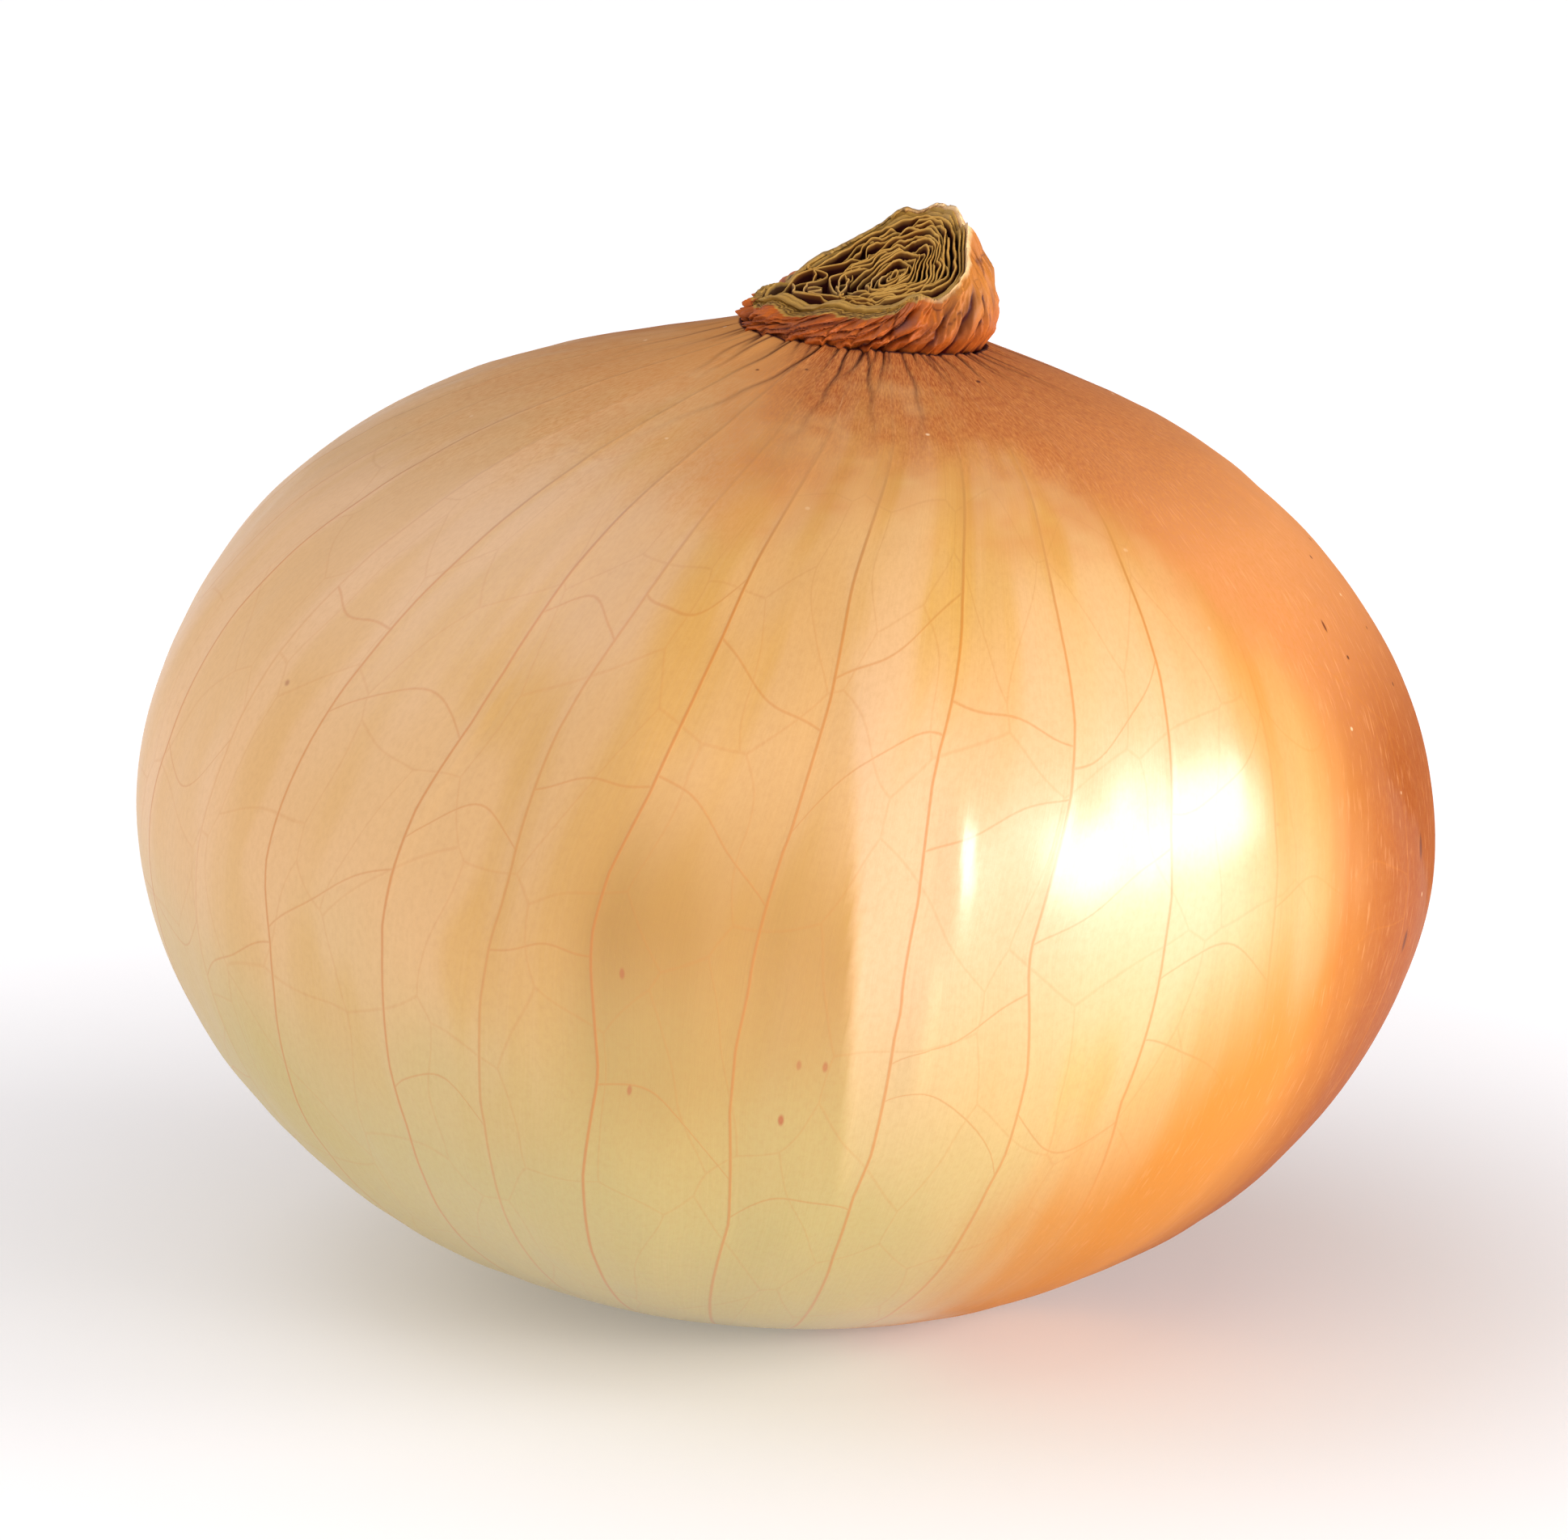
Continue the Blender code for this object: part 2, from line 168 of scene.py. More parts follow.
# %% [markdown]
# ## The skin's form
# From the root dimple, over the flat spot and the belly, to the neck's foot, the rings use the plain model's
# formulas. What is added is what paper does over a ribbed bulb: each strip between two veins is a shallow
# facet of its own, and the whole is faintly dented, so that a soft light breaks up along the veins.

# %% Outlines of the neck's foot and of the cut


def foot_outline(angle):
    middle_x, middle_y, half_length, half_width = FOOT
    return middle_x + half_length * np.cos(angle), middle_y + half_width * np.sin(angle)


def cut_outline(angle, inset=0.0):
    middle_x, half_length, half_width = HEAD
    squarer = 1.0 / (np.abs(np.cos(angle)) ** 8 + np.abs(np.sin(angle)) ** 8) ** 0.125
    corner = mix(1.0, squarer, smooth(0.0, 0.25, np.cos(angle)) * smooth(0.0, -0.25, np.sin(angle)))
    half_length, half_width = half_length * corner, half_width * corner
    length, drift, narrowing = TAIL
    tail = ((1.0 - np.cos(angle)) / 2.0) ** 3
    x = middle_x + (half_length - inset) * np.cos(angle) - (length - 0.8 * inset) * tail
    y = (half_width - inset) * np.sin(angle) * (1.0 - narrowing * tail) + drift * tail
    return x, y


def cut_height(x, y):
    at_x, at_z, slope_x, slope_y = CUT
    return at_z + slope_x * (x - at_x) + slope_y * y


def out_from_foot(x, y):
    middle_x, middle_y, half_length, half_width = FOOT
    reach = np.hypot((x - middle_x) / half_length, (y - middle_y) / half_width)
    return np.maximum(0.0, (reach - 1.0) * (half_length + half_width) / 2.0)


def folds(angle, away):
    wave = np.cos(15 * angle + 1.3 * np.sin(3 * angle)) * 0.6 + np.cos(9 * angle + 2.0) * 0.4
    return -0.22 * np.maximum(0.0, wave) ** 3 * np.exp(-away / 4.0)


# %% Creases gathered round the neck's foot
CREASES = 70
GATHERS = []  # where each crease starts, how far down the shoulder it runs, depth, width and bend
for k in range(CREASES):
    start = -math.pi + 2.0 * math.pi * (k + chance.uniform(-0.9, 0.9)) / CREASES
    wide = chance.random() < 0.12
    reaches = (1.5, 3.0, 4.0) if wide else (1.0, 1.5, 2.5, 4.0, 8.0)
    GATHERS.append(
        (
            start,
            chance.choice(reaches),
            chance.uniform(0.16, 0.3) if wide else chance.uniform(0.02, 0.15),
            0.18 if wide else 0.09,
            0.3 * math.sin(2.0 * start + 0.8) + chance.uniform(-0.25, 0.25),
        )
    )


def gathers(angle, away):
    """Creases where the shrunken neck gathers the skin: their relief, and the painted shade in them from 0 to
    1.
    """
    relief, dark = np.zeros_like(angle), np.zeros_like(angle)
    for start, reach, depth, width, bend in GATHERS:
        shiver = 0.007 * np.sin(1.3 * away + 9.0 * start)
        aside = wrap(angle - start - bend * away / 12.0 - shiver) * (7.0 + away)
        wide = width + 0.014 * away
        fade = np.exp(-((away / reach) ** 1.5))
        groove = np.exp(-((aside / wide) ** 2))
        lip = np.exp(-(((aside - 2.6 * wide) / (2.0 * wide)) ** 2))
        relief += depth * fade * (0.45 * lip - groove)
        dark = np.maximum(dark, groove * fade * (0.8 + 1.8 * depth))
    return relief, np.minimum(dark, 1.0)


# %% Heights of the bulb's two halves


def dome_height(reach):
    return CROWN * (1.0 - reach ** CROWN_ROUND[0]) ** (1.0 / CROWN_ROUND[1])


def crown_height(x, y):
    reach = np.minimum(1.0, np.hypot(x, y / DEPTH_SHARE) / BELLY)
    away = out_from_foot(x, y)
    fade = smooth(0.0, 0.25, 1.0 - reach)
    angle = np.arctan2(y - FOOT[1], x - FOOT[0])
    rise = NECK_RISE * np.exp(-away / NECK_REACH) + folds(angle, away) + gathers(angle, away)[0]
    return dome_height(reach) + rise * fade


def keel_depth(reach):
    return KEEL * (1.0 - reach ** KEEL_ROUND[0]) ** (1.0 / KEEL_ROUND[1])


def ribs(angle):
    return RIB * (np.cos(7 * angle + 0.8) + 0.7 * np.cos(11 * angle + 2.1) + 0.5 * np.cos(17 * angle))


def dimple_lift(share):
    return DIMPLE_DEPTH * (1.0 - smooth(0.35, 1.0, share))


# %% Relief of one papery strip and its veins
VEIN_HEIGHT = 0.03
VEIN_WIDTH = 0.2
RIPPLE = 0.085  # height of the fine ripples
FACET = np.array([chance.uniform(-0.05, 0.15) for _ in range(STRIPS)])
DENT = 0.2  # height of the broad dents
BUCKLES = (  # lengthwise ridges where the dry skin has lifted: bearing, from and to height, slope, rise
    (14.4, 3.0, 12.0, 0.06, 0.16),
    (12.6, -7.0, 1.0, 0.05, 0.16),
    (5.9, -16.0, 4.0, -0.06, 0.1),
    (-38.0, 2.0, 16.0, 0.5, 0.1),
    (26.0, -14.0, -4.0, 0.05, 0.08),
    (150.0, -10.0, 12.0, 0.1, 0.16),
    (-130.0, -6.0, 14.0, -0.1, 0.16),
)


def relief(points, radius):
    """For one ring: the skin's height off the smooth bulb, and the nearest vein's distance and strength."""
    x, y, z = points.T
    distance = np.minimum(share_of, 1.0 - share_of) * np.radians(WIDTHS[strip_of]) * radius
    nearer = np.where(share_of < 0.5, strip_of, (strip_of + 1) % STRIPS)
    vein = VEIN_HEIGHT * POWER[nearer] * np.exp(-((distance / VEIN_WIDTH) ** 2))
    facet = FACET[strip_of] * np.sin(math.pi * share_of) * min(1.0, radius / BELLY)
    dents = noise_at(x / 13.0, y / 13.0, z / 30.0)
    ripple = noise_at(x / 3.0, y / 3.0, z / 18.0 + 7.0)
    azimuth = np.degrees(np.arctan2(x, -y))
    buckle = np.zeros_like(facet)
    for at, low, high, swing, rise in BUCKLES:
        window = smooth(low - 2.0, low + 1.5, z) * smooth(high + 2.0, high - 1.5, z)
        arc = np.radians(azimuth - at - swing * z) * radius
        buckle += rise * window * np.exp(-np.where(arc > 0.0, (arc / 0.32) ** 2, (arc / 1.3) ** 2))
    return vein + facet + DENT * dents + RIPPLE * ripple + buckle, distance, POWER[nearer]


# %% [markdown]
# ## Rings from root to neck
# A ring is one row of points round the bulb. Going up, the rows come in four stretches: the root dimple and
# the flat spot, which are level once the bulb leans; the lower side; the upper side; and the shoulder, which
# turns from round to the oval of the neck's foot and ends in a row tucked away inside the neck.

# %% Rows of points
FOOT_RADIUS = 9.0  # the upper rings take on the foot's outline; one of this radius would have its size


def compass(bearing):
    """The model's angle from +x for a bearing from the front."""
    return np.radians(bearing - 90.0)


def level_row(middle_x, radius, lift):
    angle = compass(bearing_at(-KEEL))
    return upright(middle_x + radius * np.cos(angle), radius * np.sin(angle), FLAT_Z + lift + 0.0 * angle)


def side_row(reach, upper):
    nominal = dome_height(reach) if upper else -keel_depth(reach)
    angle = compass(bearing_at(nominal))
    x, y = BELLY * reach * np.cos(angle), BELLY * reach * np.sin(angle)
    if upper:
        foot_x, foot_y = foot_outline(angle)
        to_foot = 0.55 * (1.0 - smooth(0.22, 0.75, reach))
        x = mix(x, foot_x * BELLY * reach / FOOT_RADIUS, to_foot)
        y = mix(y, foot_y * BELLY * reach / FOOT_RADIUS, to_foot)
    y = y * DEPTH_SHARE
    height = crown_height(x, y) if upper else -keel_depth(reach) + 0.0 * angle
    swell = 1.0 + ribs(angle) / BELLY * smooth(0.25, 0.8, reach)
    return np.stack([x * swell, y * swell, height], axis=-1)


def recess_depth(angle):
    """How deep the floor of the cut lies below its edge."""
    return mix(RECESS[1], RECESS[0], ((1.0 - np.cos(angle)) / 2.0) ** 2)


# %% [markdown]
# ## From rows to a mesh
# Rows of equal length make a tube of quads, closed at each end by a fan to one point. The same function makes
# the leaf bases and the root plate later on.

# %% Loft helper


def loft(name, rows, first=None, last=None, wrap=True):
    """A mesh object through rows of points in metres, closed at an end where a point is given."""
    count = len(rows[0])
    points = [tuple(p) for row in rows for p in row]
    steps = range(count) if wrap else range(count - 1)
    faces = [
        (r * count + c, r * count + (c + 1) % count, (r + 1) * count + (c + 1) % count, (r + 1) * count + c)
        for r in range(len(rows) - 1)
        for c in steps
    ]
    if first is not None:
        points.append(tuple(first))
        faces += [(len(points) - 1, (c + 1) % count, c) for c in steps]
    if last is not None:
        points.append(tuple(last))
        top = (len(rows) - 1) * count
        faces += [(len(points) - 1, top + c, top + (c + 1) % count) for c in steps]
    mesh = bpy.data.meshes.new(name)
    mesh.from_pydata(points, [], faces)
    mesh.shade_smooth()
    mesh.update()
    made = bpy.data.objects.new(name, mesh)
    bpy.context.scene.collection.objects.link(made)
    print(name, len(mesh.vertices), "vertices,", sum(len(p.vertices) - 2 for p in mesh.polygons), "triangles")
    return made


def paint(piece, name, values):
    """Keeps one number for each vertex, for the material to read; the closing points take the last one."""
    layer = piece.data.attributes.new(name, "FLOAT", "POINT")
    padded = np.zeros(len(piece.data.vertices))
    padded[: len(values)] = values
    padded[len(values) :] = values[-1]
    layer.data.foreach_set("value", padded)


# %% Rows of the bulb's skin
root_middle = -KEEL * math.sin(LEAN)
shares = (0.1, 0.25, 0.4, 0.5, 0.6, 0.7, 0.8, 0.9, 1.0)
rows = [level_row(root_middle, DIMPLE_RADIUS * s, dimple_lift(s)) for s in shares]
rows += [level_row(mix(root_middle, FLAT_X, 0.5), 10.6, 0.0), level_row(FLAT_X, FLAT_RADIUS, 0.0)]
plain_rows = len(rows)
rows += [side_row(reach, False) for reach in np.sin(np.radians(np.linspace(26.0, 90.0, 44)))]
rows += [side_row(reach, True) for reach in np.sin(np.radians(np.linspace(88.5, 26.0, 50)))]
last_side = rows[-1]
foot_x, foot_y = foot_outline(compass(bearing_at(CROWN + NECK_RISE)))
for share in 1.0 - (1.0 - np.linspace(0.03, 1.0, 38)) ** 1.3:
    x, y = mix(last_side[:, 0], foot_x, share), mix(last_side[:, 1], foot_y, share)
    rows.append(np.stack([x, y, crown_height(x, y)], axis=-1))
tuck_x, tuck_y = mix(FOOT[0], foot_x, 0.9), mix(FOOT[1], foot_y, 0.9)
rows.append(np.stack([tuck_x, tuck_y, rows[-1][:, 2] - 0.9], axis=-1))  # hidden inside the neck
print(len(rows), "rows")

# %% Relief, skin mesh and the numbers that its material reads
FAR_FROM_VEINS = 9.0  # millimetres, for the rows that have no veins
vein_mm = np.zeros((len(rows), COLUMNS)) + FAR_FROM_VEINS
vein_power = np.zeros((len(rows), COLUMNS))
grid = np.stack(rows)
for r in range(plain_rows, len(rows) - 1):
    row = rows[r]
    radius = float(np.hypot(row[:, 0], row[:, 1]).mean())
    out, distance, power = relief(row, radius)
    normal = np.stack([row[:, 0] / BELLY**2, row[:, 1] / BELLY**2, row[:, 2] / CROWN**2], axis=-1)
    normal /= np.linalg.norm(normal, axis=1)[:, None]
    lift = out * float(smooth(10.0, 22.0, radius)) * min(1.0, (r - plain_rows) / 4.0)
    rows[r] = row + normal * lift[:, None]
    vein_mm[r] = distance
    vein_power[r] = power

root_pole = upright(np.array(root_middle), np.array(0.0), np.array(FLAT_Z + DIMPLE_DEPTH))
top_pole = np.array([FOOT[0], FOOT[1], rows[-1][:, 2].min() - 0.5])
skin = loft("onion_skin", [stand(row) for row in rows], stand(root_pole), stand(top_pole))

# %% Noise over the skin
height = grid[..., 2]
bearing = np.degrees(np.arctan2(grid[..., 0], -grid[..., 1]))


def cloud(scale, seed, drawn_out=1.0):
    """Soft noise over the whole skin, about -1 to 1, in blotches of scale millimetres."""
    where = grid / np.array([scale, scale, scale * drawn_out]) + seed
    return noise_at(*np.moveaxis(where, -1, 0)) * 2.0


steps_up = np.linalg.norm(np.diff(grid, axis=0), axis=2).mean(axis=1)
along = np.concatenate([[0.0], np.cumsum(steps_up)])  # millimetres up the skin from the dimple, for each row


def bands(width, length, seed):
    """Noise drawn out along the veins, about -1 to 1: width across and length along, in millimetres."""
    x, y = BELLY / width * np.cos(np.radians(BEARING)), BELLY / width * np.sin(np.radians(BEARING))
    return 2.0 * noise_at(x, y, along[:, None] / length + seed)


# %% Where the skin is rusty, green, aged and shaded, or dry
patchy = cloud(9.0, 3.0)
banded = bands(5.0, 34.0, 2.0) + 0.5 * bands(1.8, 22.0, 9.0)
streaky = cloud(5.0, 8.0, 4.5)
speckled = cloud(1.6, 1.0, 1.3)
east = np.cos(np.radians(bearing - 112.0))  # 1 where the old outer skin is thickest
rust_border = mix(30.0, -16.0, smooth(-0.45, 1.1, east) ** 4.5)
rust = smooth(-6.0, 5.0, height - rust_border + 1.1 * patchy + 0.7 * streaky + 1.0 * speckled)
green = smooth(4.0, -20.0, height + 2.0 * patchy) * smooth(0.8, -0.3, east)
ragged = smooth(-25.0, -33.0, height) * (patchy + 0.5 * streaky)
climb = 0.02 * np.clip(height, -18.0, 3.0)  # the amber border slants between these two heights
amber = smooth(0.17, 0.64, east + 0.04 * banded + 0.2 * ragged - climb)
# the far right side darkens to brown: partly older rusty skin, partly painted shade
aged_and_shaded = smooth(0.45, 0.8, east + 0.02 * banded + 0.2 * ragged)
dry_side = 0.7 * smooth(44.0, 57.0, bearing) * smooth(176.0, 130.0, bearing)
dry = np.maximum(np.maximum(rust, 0.85 * amber**2), dry_side)

# %% Where it clings, looks gold, is pale with a painted glare, and the painted shade in its creases
strip_tone = np.array([chance.uniform(0.0, 1.0) for _ in range(STRIPS)])
cling = smooth(-0.65, 0.65, 0.8 * (strip_tone[strip_of][None, :] - 0.6) + 0.6 * patchy + 0.9 * banded)
slanted = bearing + 0.06 * height  # the gold and the pale skin meet on a slightly slanting line
gold = smooth(-21.0, -15.0, bearing) * smooth(6.6, 5.4, slanted) * smooth(-23.0, -6.0, height)
gold = gold * smooth(15.0, 2.0, height + 1.0 * patchy) * mix(1.0, 0.75, smooth(-9.0, -5.0, bearing))
# paler, creamier skin round the highlight: partly lifted skin, partly a painted glare of the light
pale_and_glare = smooth(5.4, 6.6, slanted) * smooth(56.0, 36.0, bearing) * smooth(28.0, 12.0, height + 3.0 * banded)
low_end = mix(smooth(-10.0, 6.0, height), smooth(-29.0, -14.0, height), smooth(24.0, 10.0, bearing))
pale_and_glare = pale_and_glare * low_end
warm = smooth(-10.0, 6.0, height) * smooth(-42.0, -20.0, bearing) * smooth(12.0, 2.0, slanted)
away = out_from_foot(grid[..., 0], grid[..., 1])
around_foot = np.arctan2(grid[..., 1] - FOOT[1], grid[..., 0] - FOOT[0])
# painted shade: the grooves of the folds and creases round the neck's foot are darkened, and the last rows,
# tucked under the neck, are dark all round
crease_shade = -0.9 * folds(around_foot, away) + 0.9 * gathers(around_foot, away)[1]
crease_shade = np.clip(crease_shade, 0.0, 1.0) * (height > 15.0)
crease_shade[-3:] = 1.0  # the last rows lie in the crease at the neck's foot
# how waxy the skin is; where it is low the colour is also paler and pinker, partly a painted sheen
gloss = 0.28 + 0.72 * smooth(-62.0, -30.0, bearing) * smooth(170.0, 90.0, np.abs(bearing))
SKIN_NUMBERS = {
    "vein_mm": vein_mm,
    "vein_power": vein_power * (1.0 - 0.6 * rust * smooth(-0.6, -0.2, east)),
    "rust": rust,
    "green": green,
    "cling": cling,
    "gold": gold,
    "amber": amber,
    "aged_and_shaded": aged_and_shaded * smooth(26.0, 8.0, height),
    "dry": dry,
    "east": smooth(-0.95, -0.3, east),
    "gloss": gloss,
    "pale_and_glare": pale_and_glare,
    "warm": warm,
    "crease_shade": crease_shade,
    "height_mm": height,
}
for name, values in SKIN_NUMBERS.items():
    paint(skin, name, values.reshape(-1))
print("painted:", ", ".join(SKIN_NUMBERS))

# %% [markdown]
# ## Cross-links and grain
# A cross-link ties one vein to the next like a rung. Inside a strip, a number that climbs by one over each
# rung is smooth, and the material draws a thin line wherever it is halfway up. That number jumps from
# strip to strip, so it is kept for each face's corners, as a UV map. A second UV map unrolls the skin to
# millimetres across and along, for the fibres.

# %% Rungs between the veins
RUNGS = {
    0: ((-9, -6, -4), (19, 18, 18)),
    1: ((-3, 1, 4), (12, 15, 13)),
    2: ((-12, -10, -13), (6, 9, 7), (21, 22, 20)),
    3: ((0, 1, 1), (11, 12, 12), (23, 22, 24)),
    4: ((-8, -9, -15), (13, 10, 5), (21, 18, 16)),
    5: ((-18, -16, -17), (10, 15, 16), (19, 21, 24)),
    6: ((-7, -8, -14), (-6, -3, 0), (9, 11, 13), (18, 17, 15)),
    7: ((-9, -12, -10), (3, 6, 9), (14, 16, 20)),
    8: ((-4, -6, -11), (0, 2, -1), (11, 12, 16)),
    9: ((-14, -12, -9), (4, 5, 3), (17, 13, 15)),
}
for strip in range(len(RUNGS), STRIPS):
    starts = sorted(chance.uniform(-20.0, 24.0) for _ in range(3))
    RUNGS[strip] = tuple(
        (at, at + chance.uniform(-3.0, 3.0), at + chance.uniform(-6.0, 6.0)) for at in starts
    )
RUNG_SLOPE = 2.4  # millimetres over which the number climbs


def rung_number(strip, across, at):
    """Climbs by one over each rung of a strip, and is a whole number and a half right on the rung."""
    number = np.zeros_like(at)
    for k, (left, middle, right) in enumerate(RUNGS[strip]):
        bow = left + (right - left) * across + 4.0 * (middle - 0.5 * (left + right)) * across * (1.0 - across)
        bow = bow + 0.2 * np.sin(9.0 * across + k + strip)
        number += 0.5 + 0.5 * np.tanh((at - bow) / RUNG_SLOPE)
    return number


share_right = np.where(share_of == ACROSS[-1], 1.0, np.roll(share_of, -1))
unrolled = np.radians(np.concatenate([BEARING, [BEARING[0] + 360.0]])) * BELLY
corner_rows = []
for share, shift in ((share_of, 0), (share_right, 1)):
    at = np.roll(height, -shift, axis=1)
    numbers = np.zeros_like(at)
    for strip in range(STRIPS):
        mine = np.where(strip_of == strip)[0]
        numbers[:, mine] = rung_number(strip, share[mine][None, :] + 0.0 * at[:, mine], at[:, mine])
    corner_rows.append((numbers, unrolled[shift : shift + COLUMNS]))

rung_map = skin.data.uv_layers.new(name="rungs")
grain_map = skin.data.uv_layers.new(name="grain")
corners = [(0, 0), (0, 1), (1, 1), (1, 0)]  # row and side of a quad's corners, in loft's order
quads = (len(rows) - 1) * COLUMNS
rung_values = np.zeros((len(skin.data.loops), 2))
grain_values = np.zeros((len(skin.data.loops), 2))
for index, (up, side) in enumerate(corners):
    numbers, where = corner_rows[side]
    window = slice(up, len(rows) - 1 + up)
    rung_values[index : 4 * quads : 4, 0] = numbers[window].reshape(-1)
    grain_values[index : 4 * quads : 4, 0] = np.tile(where, len(rows) - 1)
    grain_values[index : 4 * quads : 4, 1] = np.repeat(along[window], COLUMNS)
rung_map.data.foreach_set("uv", rung_values.reshape(-1))
grain_map.data.foreach_set("uv", grain_values.reshape(-1))
print("cross-links:", sum(len(found) for found in RUNGS.values()))

# %% [markdown]
# ## Writing materials
# Colours are written as sRGB hex values, as a paint chart gives them, and turned to the linear values that
# the renderer adds up. One small helper adds a node with its settings and links; the others use it for the
# steps that come again and again: reading the painted numbers, arithmetic, stretching a range and noise.

# %% Material helpers


def tint(code):
    """An sRGB hex colour as linear RGBA."""
    parts = [int(code[i : i + 2], 16) / 255.0 for i in (1, 3, 5)]
    return (*(c / 12.92 if c <= 0.04045 else ((c + 0.055) / 1.055) ** 2.4 for c in parts), 1.0)


def add(tree, kind, inputs=None, **settings):
    """Adds a shader node. An input is given by name or place, as a value or as another node's output."""
    made = tree.nodes.new("ShaderNode" + kind)
    for name, value in settings.items():
        setattr(made, name, value)
    for where, value in (inputs or {}).items():
        if isinstance(value, bpy.types.NodeSocket):
            tree.links.new(value, made.inputs[where])
        else:
            made.inputs[where].default_value = value
    return made


def new_material(name):
    made = bpy.data.materials.new(name)
    made.use_nodes = True
    return made, made.node_tree, made.node_tree.nodes["Principled BSDF"]


def blend(tree, share, below, above, how="MIX"):
    """One colour laid over another, as far as share says. A colour is a hex code or a node's output."""
    below, above = (tint(colour) if isinstance(colour, str) else colour for colour in (below, above))
    return add(tree, "Mix", {0: share, 6: below, 7: above}, data_type="RGBA", blend_type=how).outputs[2]


def finish_surface(piece, made, colour, roughness, specular, relief, strength, depth=0.0001):
    """Joins a material's colour and fine relief to its surface and gives it to a piece."""
    tree = made.node_tree
    surface = tree.nodes["Principled BSDF"]
    tree.links.new(colour, surface.inputs["Base Color"])
    surface.inputs["Specular IOR Level"].default_value = specular
    if isinstance(roughness, bpy.types.NodeSocket):
        tree.links.new(roughness, surface.inputs["Roughness"])
    else:
        surface.inputs["Roughness"].default_value = roughness
    bump = add(tree, "Bump", {"Strength": strength, "Distance": depth, "Height": relief})
    tree.links.new(bump.outputs[0], surface.inputs["Normal"])
    piece.data.materials.append(made)


def coats(tree, base, *layers):
    """Lays colours over one another in turn, each as a share and a colour."""
    for share, colour in layers:
        base = blend(tree, share, base, colour)
    return base


# %% Helpers for numbers, noise and marks


def read_numbers(tree, names):
    """The numbers painted on a piece, by name."""
    return {name: add(tree, "Attribute", attribute_name=name).outputs["Fac"] for name in names}


def calc(tree, how, *values, kind="Math", out=0):
    """One step of arithmetic on numbers or on other nodes' outputs."""
    return add(tree, kind, dict(enumerate(values)), operation=how).outputs[out]


def stretch(tree, value, low=0.0, high=1.0, to_low=0.0, to_high=1.0, way="LINEAR"):
    """Takes low to to_low and high to to_high, and what lies between evenly or along an S."""
    limits = {"From Min": low, "From Max": high, "To Min": to_low, "To Max": to_high}
    return add(tree, "MapRange", {"Value": value, **limits}, interpolation_type=way).outputs[0]


def cloudy_noise(tree, place, scale, detail, roughness):
    settings = {"Vector": place, "Scale": scale, "Detail": detail, "Roughness": roughness}
    return add(tree, "TexNoise", settings).outputs[0]


def scaled(tree, place, across, along):
    """A place on the unrolled skin, with so many units to a millimetre each way."""
    return add(tree, "Mapping", {0: place, 3: (across, along, 1.0)}).outputs[0]


def speckles(tree, place, scale, half_width, soft, rarity):
    """Small round marks in a few cells out of many; also each cell's random colour."""
    cells = add(tree, "TexVoronoi", {"Vector": place, "Scale": scale}, feature="F1")
    chances = add(tree, "SeparateColor", {0: cells.outputs["Color"]})
    mark = line(tree, cells.outputs["Distance"], half_width, soft)
    return mark, calc(tree, "GREATER_THAN", chances.outputs[0], rarity), chances


def line(tree, distance, half_width, soft):
    """1 on a line and 0 off it, from the distance to its middle."""
    return stretch(tree, distance, half_width, half_width + soft, 1.0, 0.0, "SMOOTHSTEP")


# %% [markdown]
# ## Onion skin
# The outer scale of a bulb onion is a dried leaf, about a tenth of a millimetre thick: cellulose with a waxy,
# almost polished face, so the gloss is broad but bright. It is see-through enough that it looks yellow where
# it clings to the flesh and pinker where it has lifted; the paler tints on the left and round the highlight
# are also a painted sheen and glare. Round the neck, and where the oldest scale is left, it is rusty; at the
# far right that brown is partly painted shade. Fibres run from root to neck, some tenths of a millimetre
# apart.

# %% Numbers, places and noise for the skin
# Each pattern's scale: how many to a millimetre, across and along the skin.
FIBRES = (4.5, 0.09)
MOTTLE = (2.4, 1.5)
SCRATCHES = (3.2, 0.4)
BENDS = (0.12, 0.1)
WEB = (0.13, 0.085)
skin_finish, tree, surface = new_material("waxy_onion_skin")
read = read_numbers(tree, SKIN_NUMBERS)
dry = read["dry"]
unrolled_skin = add(tree, "UVMap", uv_map="grain").outputs[0]
spot_place = add(tree, "TexCoord").outputs["Object"]
fibres = cloudy_noise(tree, scaled(tree, unrolled_skin, *FIBRES), 1.0, 3.0, 0.6)
mottle = cloudy_noise(tree, scaled(tree, unrolled_skin, *MOTTLE), 1.0, 4.0, 0.7)

# %% Golden skin: clinging, lifted, with a painted sheen and glare, green below, amber and shaded at the side
golden = blend(tree, read["cling"], "#E2B070", "#DAA552")
# where the skin is less waxy, on the left and at the back, it is paler and pinker: partly lifted skin, partly
# a painted sheen
golden = blend(tree, read["gloss"], blend(tree, 0.5, golden, "#E4B688"), golden)
golden = coats(
    tree,
    golden,
    (calc(tree, "MULTIPLY", read["warm"], 0.3), "#C08632"),
    (read["gold"], "#B8842E"),
    # painted glare round the highlight, partly lifted skin
    (read["pale_and_glare"], "#E3B583"),
    (read["green"], "#C4AE66"),
    # the amber side turns brown at the far right: partly age, partly painted shade
    (read["amber"], blend(tree, read["aged_and_shaded"], "#CC8028", "#964602")),
)

